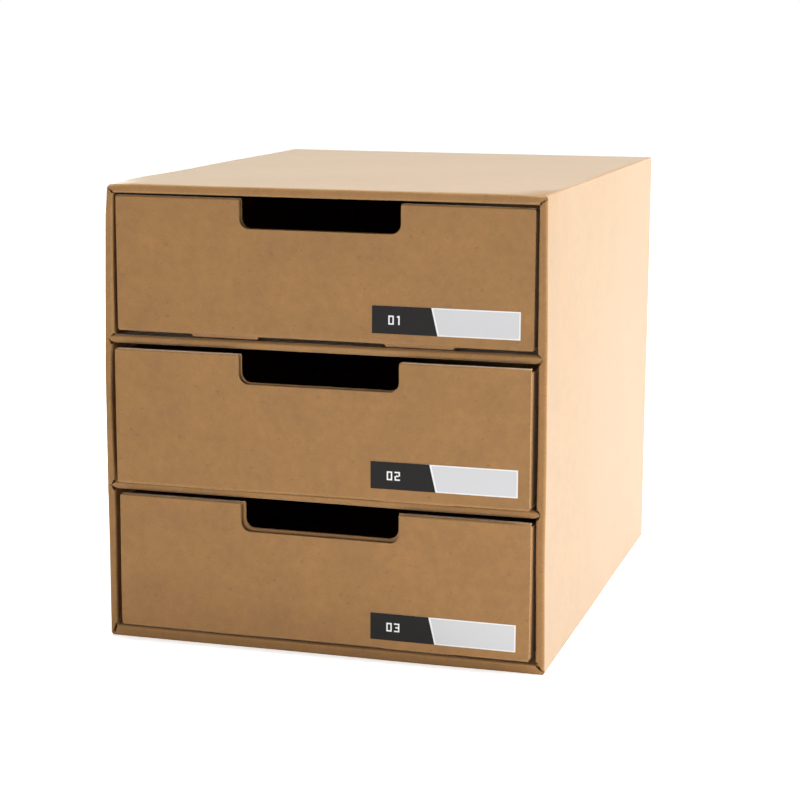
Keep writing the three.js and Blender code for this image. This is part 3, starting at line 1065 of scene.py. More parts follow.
    def walls(self) -> Sheet:
        """The four walls as one strip that runs round the box and closes at a corner.

        Returns:
            The strip.
        """
        box = self.sizes
        x, top, joint_play = box.half_width - HALF, box.height - HALF, 0.2
        ends = (FOLD - x, HALF), (FOLD - x - joint_play, HALF)
        section = Section([ends[0], (x, HALF), (x, top), (-x, top), (-x, HALF), ends[1]])
        return Sheet(
            section,
            rectangle(self.fold_start, 0.0, box.back, section.length),
            onto_xz,
            cut_edges=[((box.back, 0.0), (box.back, section.length))],
            shift=ripple(4, 0.16, 150),
            bend=lambda point: self.settle(point, 0),
            origin=(31, 7),
        )

    def level_side(self, side: Side, at_top: bool, end: float) -> list[Flat]:
        """One side of a level rim and its lining, from the wall to the back.

        Args:
            side: the side that it is on.
            at_top: whether it is at the top.
            end: length of the sheet.

        Returns:
            Points of the distance from the middle and the distance along the sheet.
        """
        box = self.sizes
        lining = box.half_width - BOARD - SEAT
        face_end = FOLD_ARC + box.level_rim(at_top) - 2 * OUTSIDE_FOLD
        mitre = MITRES[side, at_top]
        tip = box.half_width - mitre.level_in
        off = max(mitre.level_off, HALF)
        if off < OUTSIDE_FOLD:
            turned = FOLD * math.acos(max(0.0, 1 - (off - HALF) / FOLD))
        else:
            turned = FOLD_ARC + off - OUTSIDE_FOLD
        return [
            # round the outer crease to the mitre's blunt tip
            (min(tip, box.half_width - OUTSIDE_FOLD), 0.0),
            (tip, turned),
            (tip, turned + self.mitre_blunt),
            # down the mitre, round the inner crease a little outside the bay, and in to the lining
            (box.bay_half_width + 0.3, face_end + 0.1),
            (box.bay_half_width + 0.1, face_end + FOLD_ARC + 0.6),
            (lining, face_end + FOLD_ARC + 1.6),
            (lining, end - self.lining_corner),
            (lining - self.lining_corner, end),
        ]

    def level_flap(self, at_top: bool) -> Sheet:
        """The rolled edge of the top or bottom wall and its lining.

        Args:
            at_top: whether it is at the top.

        Returns:
            The sheet.
        """
        box = self.sizes
        rim, front = box.level_rim(at_top), box.front + HALF
        outer, inner = (box.height - HALF, box.height - rim + HALF) if at_top else (HALF, rim - HALF)
        corners = [(self.fold_start, outer), (front, outer), (front, inner), (self.lining_end, inner)]
        section = Section(corners if at_top else corners[::-1])
        end = section.length
        right, left = (self.level_side(side, at_top, end) for side in (Side.RIGHT, Side.LEFT))
        outline = [*right, *[(-u, s) for u, s in reversed(left)]]
        if not at_top:
            outline = [(u, end - s) for u, s in outline]
        back_edge = outline[len(right) - 1 : len(right) + 1]  # between the last points of the two sides
        lining_from = 2 * FOLD_ARC + rim - 2 * OUTSIDE_FOLD
        return Sheet(
            section,
            outline,
            onto_yz,
            flutes=Flutes.ALONG,
            cut_edges=[tuple(back_edge if at_top else back_edge[::-1])],
            shift=ripple(7 if at_top else 8, 0.12, 120),
            bend=lambda point: self.round_ends(point, at_top),
            # painted shade: the lining's outer face, inside the box, gets the inside paper with little sheen
            painted_shade=lambda s: (s if at_top else end - s) > lining_from,
            origin=(63, 90 if at_top else 170),
        )

    def round_ends(self, point: Vector, at_top: bool) -> Vector:
        """The ends of a level rim follow the round long edges, and the bottom one sags at the front.

        Args:
            point: a point of the true rim.
            at_top: whether it is the top one.

        Returns:
            The moved point.
        """
        box = self.sizes
        rim = box.level_rim(at_top)
        toward, edge = (-1.0, box.height) if at_top else (1.0, 0.0)
        off = abs(point.z - edge)
        moved = point.copy()
        if not at_top:
            sag = self.slump * (1 + self.slump_tilt * point.x / box.half_width)
            moved.z -= sag * share(off, BOARD, rim - BOARD) * (1 - box.behind_front(point.y, self.sag_fade))
        past = min(OUTSIDE_FOLD, abs(point.x) - (box.half_width - OUTSIDE_FOLD))
        if past > 0 and point.y <= self.fold_start + 0.2:
            drop = OUTSIDE_FOLD - math.sqrt(OUTSIDE_FOLD**2 - past**2)
            moved.z += toward * drop * max(0.0, 1 - off / rim)
        return self.settle(moved, len(TIERS) - 1 if at_top else 0)

    def side_flap(self, side: Side, tier: int) -> Sheet:
        """The rolled edge of a side wall beside one bay, and its lining.

        Args:
            side: the side that it is on.
            tier: the bay.

        Returns:
            The sheet.
        """
        box = self.sizes
        outer, inner = side * (box.half_width - HALF), side * (box.bay_half_width + HALF)
        front = box.front + HALF
        corners = [(outer, self.fold_start), (outer, front), (inner, front), (inner, self.lining_end)]
        section = Section(corners[::-1] if side is Side.RIGHT else corners)
        end = section.length
        low, high = (self.foot(side, tier, above, end) for above in (False, True))
        slow = ripple(20 + tier + side, 0.1, 90)

        def from_wall(s: float) -> float:
            """The distance along the sheet from the wall's side, as the right one runs the other way."""
            return end - s if side is Side.RIGHT else s

        def stepped(u: float, s: float) -> float:
            """The lining stands back a little just behind the rolled edge."""
            far = from_wall(s) - 2 * OUTSIDE_FOLD - box.rim
            return slow(u, s) - self.step_back * share(far, *self.step_from) * (1 - share(far, *self.step_to))

        last = from_wall(end)
        ends = [(low[-1][0] + 0.5, last), (high[-1][0] - 0.5, last)]
        return Sheet(
            section,
            [(u, from_wall(s)) for u, s in [*low, *reversed(high)]],
            onto_xy,
            flutes=Flutes.ALONG,
            cut_edges=[tuple(ends[::side])],
            shift=stepped,
            bend=lambda point: self.settle(point, tier),
            # painted shade: the lining's outer face, inside the box, gets the inside paper with little sheen
            painted_shade=lambda s: from_wall(s) > box.rim,
            origin=(300 + 90 * tier, 400 + 200 * side),
        )

    def foot(self, side: Side, tier: int, above: bool, end: float) -> list[Flat]:
        """The cut end of a side rim and its lining, from the wall to the back.

        Args:
            side: the side that it is on.
            tier: the bay it goes with.
            above: whether this is its upper end.
            end: length of the sheet.

        Returns:
            Points of the height and the distance along the sheet.
        """
        box = self.sizes
        level = box.bays[tier][1 if above else 0]
        way = -1 if above else 1
        face = box.rim - 2 * OUTSIDE_FOLD
        lining = level + way * SEAT
        neighbour = tier + (1 if above else -1)
        if 0 <= neighbour < len(box.bays):
            other = box.bays[neighbour][0 if above else 1]
            middle = (level + other) / 2
            near = middle + way * self.slit / 2
            mouth = middle + way * (abs(level - other) / 2 + self.vee_flare)
            return [
                # along the slit, up one side of the V, which ends on the inner crease, and to the lining
                (near, 0.0),
                (near, FOLD_ARC + face / 2 - (self.vee_depth - box.rim / 2)),
                (mouth, FOLD_ARC + face + FOLD_ARC * 0.6),
                (lining, FOLD_ARC + face + FOLD_ARC + 1.0),
                (lining, end),
            ]
        mitre = MITRES[side, above]
        edge = box.height if above else 0.0
        return [
            # round the outer crease to the mitre's blunt tip, down the mitre, and to the lining
            (edge + way * max(mitre.side_off, OUTSIDE_FOLD + 0.1), 0.0),
            (edge + way * mitre.side_off, FOLD_ARC * 0.55),
            (edge + way * (mitre.side_off + self.mitre_blunt), FOLD_ARC * 0.75),
            (edge + way * (abs(level - edge) + mitre.gap), FOLD_ARC + face + 0.35),
            (lining, FOLD_ARC + face + FOLD_ARC),
            (lining, end),
        ]

    def shelf(self, name: str, low: float, high: float, seed: int) -> bpy.types.Object:
        """Builds a shelf: two leaves with a rolled front edge, and flanges behind the linings.

        Args:
            name: "lower" or "upper".
            low: height of its underside.
            high: height of its upper side.
            seed: picks its unevenness and its part of the paper.

        Returns:
            The finished shelf.
        """
        box = self.sizes
        corner, _ = node_box(f"shelf_{name}")
        near = corner.y + HALF
        leaves = (high - HALF, low + HALF)
        radius = (high - low - BOARD) / 2 - 0.01
        corners = [(self.lining_end, leaves[0]), *[(near, leaf) for leaf in leaves], (self.lining_end, leaves[1])]
        section = Section(corners, radius=radius)
        end = section.length
        nose = section.folds[0].start
        turn = radius * math.pi / 2
        middle = nose + turn
        tip = box.bay_half_width + self.vee_depth - self.tip_play
        reach = box.half_width - BOARD - 0.25
        steps = [
            # the wide leaf ends just behind the nose, which is as wide as the bay and ends in a blunt point
            (reach, 0.0),
            (reach, nose - 1.4),
            (tip - self.tip_length, nose - 1.2),
            (tip - self.tip_length, nose + turn * 0.3),
            (tip - 0.15, middle - self.tip_blunt / 2),
            (tip, middle),
        ]
        half = [*steps, *[(u, 2 * middle - s) for u, s in reversed(steps[:-1])]]
        slow = ripple(40 + seed, 0.14, 110)

        def puffed(u: float, s: float) -> float:
            """The nose is crushed along its middle, and the leaves come together behind it.

            Args:
                u: distance across the sheet.
                s: distance along it.

            Returns:
                How far the board stands out of its plane.
            """
            off = abs(s - middle)
            dent = self.crush * math.exp(-((off / self.crush_width) ** 2))
            return slow(u, s) - dent - self.closing * share(off, turn, turn + self.closing_length)

        def settled(point: Vector) -> Vector:
            """The shelf follows the lean of the sides."""
            return self.settle(point, seed)

        body = Sheet(
            section,
            mirrored(half),
            onto_yz,
            flutes=Flutes.ALONG,
            cut_edges=[((-reach, 0.0), (reach, 0.0)), ((reach, end), (-reach, end))],
            shift=puffed,
            bend=settled,
            # painted shade: the leaves behind the nose, inside the box, get the inside paper with little sheen
            painted_shade=lambda s: abs(s - middle) > turn + 0.6,
            grid=12.0,
            origin=(500 + 70 * seed, 900),
        )
        flanges = []
        for side in Side:
            x = side * (reach - HALF)
            along = Section([(x, corner.z), (x, low + BOARD)][::side])
            ring = rectangle(box.front + self.flange_start, 0.0, self.lining_end, along.length)
            flanges.append(Sheet(along, ring, onto_xz, bend=settled, origin=(800, 60 * side)))
        result = fold(f"folded_shelf_{name}", self.finishes, body, *flanges)
        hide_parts(f"shelf_{name}")
        return result

    def back(self) -> bpy.types.Object:
        """Builds the panel that closes the back.

        Returns:
            The finished piece.
        """
        low, high = node_box("back_panel")
        section = Section([(high.x, high.y - HALF), (low.x, high.y - HALF)])
        wide = section.length
        sheet = Sheet(
            section,
            [(low.z, 0.0), (low.z, wide), (high.z, wide), (high.z, 0.0)],
            onto_xy,
            shift=ripple(51, 0.1, 130),
            origin=(1200, 40),
            cut_edges=[((low.z, wide), (low.z, 0.0)), ((high.z, 0.0), (high.z, wide))],
        )
        result = fold("back_closing_panel", self.finishes, sheet)
        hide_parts("back_panel")
        return result

    def back_flap(self, side: Side) -> bpy.types.Object:
        """Builds a tapered flap folded in from a side wall.

        Args:
            side: the side that it is on.

        Returns:
            The finished piece.
        """
        word = side.name.lower()
        low, high = node_box(f"back_flap_{word}")
        section = Section([(high.x, low.y + HALF), (low.x, low.y + HALF)])
        narrow, wide = (section.length, 0.0)[::side]
        taper = self.flap_taper
        ring = [(low.z + taper, narrow), (low.z, wide), (high.z, wide), (high.z - taper, narrow)]
        slow = ripple(61 + side, 0.08, 90)
        sheet = Sheet(section, ring, onto_xy, flutes=Flutes.ALONG, shift=slow, origin=(1500, 80))
        result = fold(f"back_corner_flap_{word}", self.finishes, sheet)
        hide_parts(f"back_flap_{word}")
        return result


# The drawers


@dataclass(frozen=True)
class Label:
    """A stuck-on label: white paper with a dark field, a grey field and a plain number."""

    number: str  # the plain number in the dark field
    dark_top: float = 32.3  # length of the dark field at its upper edge
    dark_bottom: float = 35.8  # its length at its lower edge
    field_gap: float = 1.0  # white between the two fields
    border: float = 0.65  # white around the grey field
    number_in: float = 9.0  # from the label's left end to the number
    number_height: float = 4.8  # height of the number
    digit_width: float = 3.0  # width of a digit
    digit_gap: float = 1.3  # room between two digits
    stroke: float = 0.75  # width of a digit's strokes
    paper_in: float = 0.05  # how far the paper's face lies behind the digits' face
    ink_in: float = 0.02  # how far the fields' face lies behind it
    glue: float = 0.02  # how far the paper stands off the drawer's front

    def make(self, name: str, low: Vector, high: Vector, finishes: Finishes) -> bpy.types.Object:
        """Makes the label.

        Args:
            name: the piece's name.
            low: its lowest corner, seen from the drawer's own corner.
            high: its highest corner.
            finishes: the materials.

        Returns:
            A new object in the scene.
        """
        left, bottom, right, top = low.x, low.z, high.x, high.z
        paper, ink = low.y + self.paper_in, low.y + self.ink_in
        tall, edge = top - bottom, self.border
        slant = (self.dark_bottom - self.dark_top) / tall
        dark = [
            (left, bottom), (left + self.dark_bottom, bottom),
            (left + self.dark_top, top), (left, top),
        ]
        grey = [
            (left + self.dark_bottom + self.field_gap - slant * edge, bottom + edge),
            (right - edge, bottom + edge),
            (right - edge, top - edge),
            (left + self.dark_top + self.field_gap + slant * edge, top - edge),
        ]
        mesh = Mesh()
        mesh.add_prism(rectangle(left, bottom, right, top), paper, -self.glue, Ink.WHITE)
        mesh.add_prism(dark, ink, paper, Ink.DARK)
        mesh.add_prism(grey, ink, paper, Ink.GREY)
        for outline in self.digits(left + self.number_in, bottom + (tall - self.number_height) / 2):
            mesh.add_prism(outline, low.y, ink, Ink.WHITE)
        return mesh.make(name, finishes.label)

    def digits(self, x: float, z: float) -> list[list[Flat]]:
        """Outlines of the plain number, each digit drawn with straight strokes that meet.

        Args:
            x: its left edge.
            z: its lower edge.

        Returns:
            The outlines of the strokes, in x and z.
        """
        stroke, height = self.stroke, self.number_height
        middle, top = z + height / 2, z + height
        shapes: list[list[Flat]] = []
        for character in self.number:
            left, right, centre = x, x + self.digit_width, x + self.digit_width / 2
            bars = {
                "a": (left, top - stroke, right, top),
                "b": (right - stroke, middle, right, top - stroke),
                "c": (right - stroke, z + stroke, right, middle),
                "d": (left, z, right, z + stroke),
                "e": (left, z + stroke, left + stroke, middle),
                "f": (left, middle, left + stroke, top - stroke),
                "g": (left + stroke, middle - stroke / 2, right - stroke, middle + stroke / 2),
                "i": (centre - stroke / 2, z, centre + stroke / 2, top),
                "j": (centre - stroke * 1.5, top - stroke * 1.3, centre - stroke / 2, top - stroke * 0.3),
            }
            for key in {"0": "abcdef", "1": "ij", "2": "abged", "3": "abgcd"}[character]:
                shapes.append(rectangle(*bars[key]))
            x += self.digit_width + self.digit_gap
        return shapes


@dataclass(frozen=True)
class Seating:
    """How one drawer sits in its bay, as measured on its front, and what is its own."""

    number: str  # the plain number on its label
    notch_step: float  # how much smaller the notch of the inner leaf is
    notch_nudge: float  # how far the notch is cut to the right of the middle
    label_nudge: float  # how far the label is stuck to the right of its place
    nudge: float  # how far it stands to the right of its place
    lift: float = 0.0  # how far it stands above its place
    rise: float = 0.0  # how much taller its board has swelled
    tilt: float = 0.0  # by how many radians its right side hangs


SEATINGS = {
    "bottom": Seating("03", 1.5, -0.3, 0.9, 0.7, lift=0.75, rise=-0.1, tilt=0.003),
    "middle": Seating("02", 0.4, 0.3, 0.75, 0.2),
    "top": Seating("01", 0.0, -0.3, 0.8, -0.15, lift=0.45, rise=-0.8, tilt=0.0025),
}


@dataclass
class Drawer:
    """One drawer: a folded tray whose front is a double wall, with a hand notch, tongues and a label."""

    tier: str  # which bay it is in
    seed: int  # picks the board's unevenness and its part of the paper
    finishes: Finishes  # the materials
    swell: float = 0.1  # how much wider its board has swelled on each side
    notch_half: float = 45.0  # half the width of the hand notch
    notch_depth: float = 16.0  # its depth
    notch_corner: float = 5.5  # radius at its bottom corners
    notch_mouth: float = 1.6  # radius where it meets the top edge
    tongue_width: float = 38.0  # width of a tongue
    tongue_slope: float = 0.5  # how much wider it is on each side where it begins
    tongue_spacing: float = 109.0  # distance between the tongues
    front_wall: float = 5.2  # thickness of the double front
    lean_height: float = 14.0  # height over which the tongues lean forward
    foot_height: float = 2.0  # height at which they stand upright again
    tongue_face: float = 2.0  # distance from the front to a tongue
    tongue_bend: float = 4.0  # radius at which a tongue bends
    slot_play: float = 0.8  # room beside a tongue
    slot_room: Flat = (0.25, 0.4)  # room before and behind a tongue in its slot
    flap_gap: float = 0.08  # gap between the front and the corner flaps behind it
    flap_reach: float = 5.0  # how far the corner flaps reach past the tongues
    flap_corner: float = 4.0  # how much is cut off the flaps' lower corners
    flap_taper: float = 7.0  # how much lower they are at their upper corners
    wall_fold: float = 0.3  # radius of a wall's upright creases
    round: float = 0.5  # radius at the front's corners
    label_trim: float = 0.45  # how much narrower the label is at each end
    stiff: float = 0.35  # share of the bowing that is left in the inner leaf
    label_fade: Flat = (0.5, 18.0)  # distances from the label over which the bowing starts
    grid: float = 14.0  # spacing of the lines that let the board bow

    def __post_init__(self) -> None:
        """Reads the drawer's place and size from the frame."""
        low, high = node_box(f"{self.tier}_drawer_tray")
        liner_low, _ = node_box(f"{self.tier}_drawer_front_liner")
        self.seating = SEATINGS[self.tier]
        self.corner = Vector(((low.x + high.x) / 2 + self.seating.nudge, low.y, low.z + self.seating.lift))
        self.half_width = (high.x - low.x) / 2 + self.swell
        self.depth = high.y - low.y
        self.height = high.z - low.z + self.seating.rise
        self.tongue_reach = low.z - liner_low.z
        self.leaf_foot = BOARD + SEAT
        self.side_height = self.height - BOARD - SEAT

    @property
    def body(self) -> str:
        """The name of the body that the drawer rides on."""
        return f"{self.tier}_drawer"

    @property
    def label_box(self) -> tuple[Vector, Vector]:
        """The label's lowest and highest corner, seen from the drawer's own corner.

        Returns:
            The two corners in mm.
        """
        low, high = node_box(f"{self.tier}_drawer_label")
        seat, at = self.seating, self.corner
        place = Vector((at.x - seat.label_nudge, at.y, at.z - seat.lift))
        trim = Vector((self.label_trim, 0.0, 0.0))
        return low - place + trim, high - place - trim

    def build(self) -> list[bpy.types.Object]:
        """Builds the drawer.

        Returns:
            The finished pieces, each riding on the drawer.
        """
        pieces = [self.tray(), self.label()]
        for piece in pieces:
            piece.location = self.corner * MM
            piece.rotation_euler = (0.0, self.seating.tilt, 0.0)
            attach(piece, self.body)
            log.info("%s piece %s: %d faces", self.body, piece.name, len(piece.data.polygons))
        return pieces

    def tray(self) -> bpy.types.Object:
        """Builds the tray, which is one blank.

        Returns:
            The finished piece.
        """
        sheets = [self.strip()]
        for side in Side:
            sheets += [self.floor_fold(side), self.wall(side), self.tongue(side)]
        result = fold(f"{self.tier}_drawer_blank", self.finishes, *sheets)
        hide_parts(f"{self.tier}_drawer_tray", f"{self.tier}_drawer_front_liner")
        return result

    def notch(self, step: float, base: float, way: int) -> list[Flat]:
        """The notch in one leaf, from its left lip to its right lip.

        Args:
            step: how much smaller than the front's notch it is.
            base: distance along the sheet of the leaf's top.
            way: 1 if the sheet runs up the leaf, -1 if it runs down.

        Returns:
            Flat points, from the lip at negative u to the lip at positive u.
        """
        half, depth = self.notch_half - step, self.notch_depth - step
        mouth, corner = self.notch_mouth, self.notch_corner
        points = [
            *arc((-half - mouth, -mouth), mouth, 90, 0, 5),
            *arc((-half + corner, -depth + corner), corner, 180, 270, 9),
            *arc((half - corner, -depth + corner), corner, 270, 360, 9),
            *arc((half + mouth, -mouth), mouth, 180, 90, 5),
        ]
        return [(u + self.seating.notch_nudge, base + way * z) for u, z in points]

    def strip(self) -> Sheet:
        """The long strip of inner leaf, front, floor and back.

        Returns:
            The sheet.
        """
        h, d, wide = self.height, self.depth, self.half_width
        inner, leaf = self.front_wall - HALF, wide - BOARD - SEAT
        front = [(inner, self.leaf_foot), (inner, h - HALF), (HALF, h - HALF), (HALF, HALF)]
        section = Section([*front, (d - HALF, HALF), (d - HALF, h)])
        leaf_fold, top_fold, floor_fold, back_fold = section.folds
        window = self.tongue_width / 2 + self.tongue_slope + self.slot_play
        middle, lean = self.tongue_spacing / 2, self.foot_height + self.lean_height
        edge = [
            # the lower edge of the inner leaf, with the window of a tongue
            (middle - window, 0.0),
            (middle - window, lean),
            (middle + window, lean),
            (middle + window, 0.0),
            (leaf, 0.0),
            (leaf, leaf_fold.start - 0.6),
            # over the front's upper edge, where its corners are a little rounded
            (wide - self.round, leaf_fold.start + 0.4),
            (wide - self.round, top_fold.start + 0.3),
            (wide - self.round * 0.45, top_fold.end - 0.5),
            (wide - self.round * 0.1, top_fold.end + 0.3),
            (wide, top_fold.end + 1.0),
            # down the front, under the floor between the side creases, and up the back
            (wide, floor_fold.start - 0.6),
            (wide - 0.4, floor_fold.start + 0.6),
            (wide - OUTSIDE_FOLD, floor_fold.end - 0.2),
            (wide - OUTSIDE_FOLD, back_fold.start + 0.2),
            (wide, back_fold.end - 0.2),
            (wide, section.length),
        ]
        inner_notch = self.notch(self.seating.notch_step, leaf_fold.start + OUTSIDE_FOLD, 1)
        outer_notch = self.notch(0.0, top_fold.end - OUTSIDE_FOLD, -1)
        holes = [[*inner_notch, *reversed(outer_notch)]]
        tongue = floor_fold.end - OUTSIDE_FOLD + self.tongue_face
        near, far = tongue - self.slot_room[0], tongue + BOARD + self.slot_room[1]
        for centre in (-middle, middle):
            holes.append(rectangle(centre - window, near, centre + window, far))
        slow = ripple(100 + self.seed, 0.22, 130)
        low, high = self.label_box

        def uneven(u: float, s: float) -> float:
            """The board bows a little, but lies flat under the label and in the inner leaf.

            Args:
                u: distance across the sheet.
                s: distance along it.

            Returns:
                How far it stands out of its plane.
            """
            if s < leaf_fold.end:
                return slow(u, s) * self.stiff
            z = h - OUTSIDE_FOLD - (s - top_fold.end)
            off = max(low.x - u, u - high.x, low.z - z, z - high.z, 0.0)
            return slow(u, s) * share(off, *self.label_fade)

        front_edge = (top_fold.end + 1.2, floor_fold.start - 0.8)
        back_edge = (back_fold.end, section.length)
        return Sheet(
            section,
            mirrored(edge),
            onto_yz,
            holes=holes,
            cut_edges=[
                ((wide, front_edge[0]), (wide, front_edge[1])),
                ((-wide, front_edge[1]), (-wide, front_edge[0])),
                ((wide, back_edge[0]), (wide, back_edge[1])),
                ((-wide, back_edge[1]), (-wide, back_edge[0])),
            ],
            shift=uneven,
            grid=self.grid,
            origin=(self.seed * 517.0, self.seed * 331.0),
        )

    def floor_fold(self, side: Side) -> Sheet:
        """The crease between the floor and a side wall.

        Args:
            side: the side that it is on.

        Returns:
            The sheet.
        """
        x = side * (self.half_width - HALF)
        corners = [(side * (self.half_width - OUTSIDE_FOLD), HALF), (x, HALF), (x, OUTSIDE_FOLD)]
        section = Section(corners[::side])
        near, far = OUTSIDE_FOLD + BOARD, self.depth - OUTSIDE_FOLD - BOARD - SEAT
        ring = [(near, 0.0), (near, section.length), (far, section.length), (far, 0.0)]
        return Sheet(section, ring, onto_xz, flutes=Flutes.ALONG, origin=(self.seed * 211.0, 77.0))

    def wall(self, side: Side) -> Sheet:
        """A side wall with its corner flaps, folded in behind the front and in front of the back.

        Args:
            side: the side that it is on.

        Returns:
            The sheet.
        """
        edge = side * (self.half_width - HALF)
        tip = side * ((self.tongue_spacing + self.tongue_width) / 2 + self.flap_reach)
        near = BOARD + self.flap_gap + HALF
        far = self.depth - BOARD - SEAT - HALF
        corners = [(tip, near), (edge, near), (edge, far), (tip, far)]
        section = Section(corners[::side], radius=self.wall_fold)
        end = section.length
        first, second = section.folds
        low, high, cut, taper = self.leaf_foot, self.side_height, self.flap_corner, self.flap_taper
        ring = [
            # the lower edge, which lies a little lower between the creases, and its cut corners
            (low, cut),
            (low, first.start),
            (OUTSIDE_FOLD, first.end + 0.3),
            (OUTSIDE_FOLD, second.start - 0.3),
            (low, second.end),
            (low, end - cut),
            (low + cut, end),
            # the upper edge, which is level on the wall and falls along the flaps
            (high - taper, end),
            (high - 0.5, second.end + 1.0),
            (high, second.start),
            (high, first.end),
            (high - 0.5, first.start - 1.0),
            (high - taper, 0.0),
            (low + cut, 0.0),
        ]
        return Sheet(
            section,
            ring,
            onto_xy,
            cut_edges=[((high, first.end), (high, second.start))],
            shift=ripple(200 + self.seed + side, 0.14, 120),
            # painted shade: the wall's whole outer face, seen in the gap beside the drawer, gets the inside paper
            # with little sheen
            painted_shade=lambda s: True,
            grid=self.grid,
            origin=(self.seed * 97.0, 300.0 * side),
        )

    def tongue(self, side: Side) -> Sheet:
        """A tongue of the inner leaf, which leans forward and passes down through the floor.

        Args:
            side: the side that it is on.

        Returns:
            The sheet.
        """
        low = self.leaf_foot
        face, foot = self.tongue_face + HALF, low + self.foot_height
        corners = [(face, -self.tongue_reach), (face, foot), (self.front_wall - HALF, foot + self.lean_height)]
        section = Section(corners, radius=self.tongue_bend)
        grown = self.tongue_reach + low + 1
        half = self.tongue_width / 2
        foot_cut = (0.6, 0.8)  # how much is cut off the foot's corners, across and along
        right = [
            (half - foot_cut[0], 0.0),
            (half, foot_cut[1]),
            (half, grown),
            (half + self.tongue_slope, section.length),
        ]
        middle = side * self.tongue_spacing / 2
        ring = [(middle + u, s) for u, s in mirrored(right)]
        return Sheet(section, ring, onto_yz, origin=(self.seed * 61.0, 40.0 * side))

    def label(self) -> bpy.types.Object:
        """Builds the label.

        Returns:
            The finished piece.
        """
        result = Label(self.seating.number).make(f"{self.tier}_drawer_number_label", *self.label_box, self.finishes)
        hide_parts(f"{self.tier}_drawer_label")
        return result


# The studio


@dataclass(frozen=True)
class Lamp:
    """A soft square white lamp."""

    name: str  # its name
    place: tuple[float, float, float]  # where it is, in metres
    size: float  # its width and height in metres
    power: float  # its power in watts

    def add(self) -> None:
        """Adds the lamp, turned to the middle of the box."""
        data = bpy.data.lights.new(self.name, "AREA")
        data.shape = "SQUARE"
        data.size = self.size
        data.energy = self.power
        result = add_to_scene(self.name, data)
        result.location = self.place
        result.rotation_mode = "QUATERNION"
        result.rotation_quaternion = (LAMP_AIM - Vector(self.place)).to_track_quat("-Z", "Y")


LAMP_AIM = Vector((0.0, 0.0, 0.12))  # about the middle of the box, in metres
LAMPS = (
    Lamp("right_high_lamp", (1.4, 0.3, 1.6), 1.0, 51.0),
    Lamp("right_lamp", (2.0, -0.3, 0.8), 0.8, 21.5),
    Lamp("front_lamp", (-0.35, -2.4, 0.2), 0.5, 22.3),
    Lamp("top_lamp", (0.0, 0.2, 2.0), 1.2, 35.0),
)


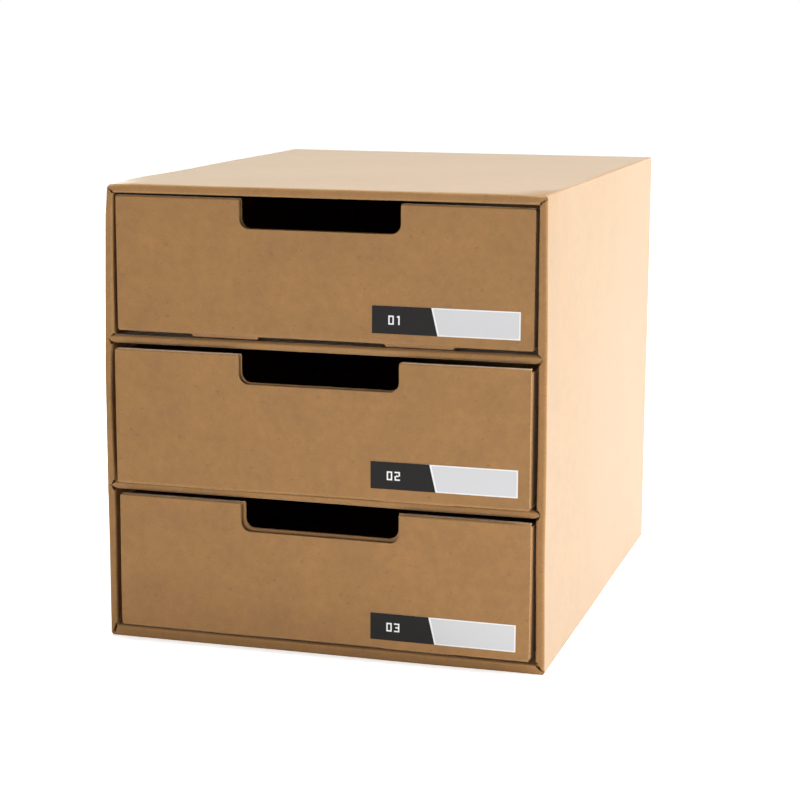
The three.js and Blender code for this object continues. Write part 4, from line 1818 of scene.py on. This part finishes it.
@dataclass
class Studio:
    """A plain pale floor, soft light and the camera at the photograph's angle."""

    azimuth: float = 16.431  # the camera's turn to the right of the front, in degrees
    elevation: float = 10.610  # its height above the horizon, in degrees
    roll: float = 0.197  # its turn about its own line of sight, in degrees
    distance: float = 1254.7  # from the middle of the underside, in mm
    focal: float = 2026.1  # focal length in pixels of a picture of that width
    across: float = -0.78  # how far the picture's middle lies to the right of the box's middle, in mm
    above: float = 111.85  # how far it lies above the underside, in mm
    picture: float = 800.0  # the picture's width in pixels
    sensor: float = 36.0  # the sensor's width in mm
    soft: float = 0.02  # strength of the even light from all around
    floor_half: float = 30.0  # half the floor's width, in metres
    floor_colour: str = "#f4f4f4"  # colour of the floor
    glow: Flat = (0.7, 1.0)  # the floor's own light near the box and far from it, where it runs into the white
    glow_span: Flat = (0.3, 1.0)  # where, in metres from the box's middle, that light is the one and the other

    def camera(self) -> None:
        """Makes the camera."""
        a, e, r = (math.radians(v) for v in (self.azimuth, self.elevation, self.roll))
        back = Vector((math.sin(a) * math.cos(e), -math.cos(a) * math.cos(e), math.sin(e)))
        level = Vector((0, 0, 1)).cross(back).normalized()
        upright = back.cross(level)
        right = level * math.cos(r) + upright * math.sin(r)
        up = upright * math.cos(r) - level * math.sin(r)
        place = (back * self.distance + right * self.across + up * self.above) * MM
        data = bpy.data.cameras.new("camera")
        data.sensor_width = self.sensor
        data.lens = self.focal / self.picture * self.sensor
        result = add_to_scene("camera", data)
        axes = Matrix((right, up, back)).transposed().to_4x4()
        result.matrix_world = Matrix.Translation(place) @ axes
        bpy.context.scene.camera = result

    def show(self, tree: bpy.types.NodeTree, kind: str, lit: bpy.types.Node, seen: bpy.types.Node) -> None:
        """Ends a node tree so that some rays see the surroundings as they are shown.

        Args:
            tree: the node tree.
            kind: the output node's type name.
            lit: what lights the box.
            seen: what the camera sees, also through glass.
        """
        path = add_node(tree, "ShaderNodeLightPath").outputs
        rays = {0: path["Is Camera Ray"], 1: path["Is Transmission Ray"]}
        shown = add_node(tree, "ShaderNodeMath", {"operation": "MAXIMUM"}, rays).outputs[0]
        parts = {0: shown, 1: lit.outputs[0], 2: seen.outputs[0]}
        mixed = add_node(tree, "ShaderNodeMixShader", {}, parts)
        add_node(tree, kind, {}, {"Surface": mixed.outputs[0]})

    def world(self) -> None:
        """Makes the even surroundings, white where the camera sees them."""
        world = bpy.data.worlds.new("white_studio")
        bpy.context.scene.world = world
        world.use_nodes = True
        tree = world.node_tree
        tree.nodes.clear()
        soft, white = (
            add_node(tree, "ShaderNodeBackground", {"name": name, "Color": WHITE, "Strength": strength})
            for name, strength in (("soft", self.soft), ("white", 1.0))
        )
        self.show(tree, "ShaderNodeOutputWorld", soft, white)

    def floor(self) -> None:
        """Makes the white floor, which keeps the box's shadow and runs out into the white surroundings."""
        data = bpy.data.meshes.new("floor")
        half = self.floor_half
        data.from_pydata([(x, y, 0) for x, y in rectangle(-half, -half, half, half)], [], [(0, 1, 2, 3)])
        result = add_to_scene("floor", data)
        finish = bpy.data.materials.new("white_paper_floor")
        finish.use_nodes = True
        tree = finish.node_tree
        tree.nodes.clear()
        paper = add_node(tree, "ShaderNodeBsdfDiffuse", {"Color": linear(self.floor_colour)})
        place = add_node(tree, "ShaderNodeNewGeometry").outputs["Position"]
        far = add_node(tree, "ShaderNodeVectorMath", {"operation": "LENGTH"}, {0: place}).outputs["Value"]
        span = dict(zip(("From Min", "From Max", "To Min", "To Max"), (*self.glow_span, *self.glow)))
        strength = add_node(tree, "ShaderNodeMapRange", span, {"Value": far}).outputs["Result"]
        lit = add_node(tree, "ShaderNodeEmission", {"name": "lit", "Color": WHITE}, {"Strength": strength})
        both = add_node(tree, "ShaderNodeAddShader", {}, {0: paper.outputs[0], 1: lit.outputs[0]})
        self.show(tree, "ShaderNodeOutputMaterial", paper, both)
        data.materials.append(finish)

    def build(self) -> None:
        """Makes the whole studio."""
        self.camera()
        self.world()
        self.floor()
        for lamp in LAMPS:
            lamp.add()
        bpy.context.scene.view_settings.view_transform = "Standard"


def main() -> None:
    """Builds the studio, the case and the drawers."""
    logging.basicConfig(level=logging.INFO, format="%(name)s %(message)s")
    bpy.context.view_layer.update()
    Studio().build()
    finishes = Finishes()
    Case(read_sizes(), finishes).build()
    for seed, tier in enumerate(TIERS):
        Drawer(tier, seed + 1, finishes).build()


if __name__ == "__main__":
    main()
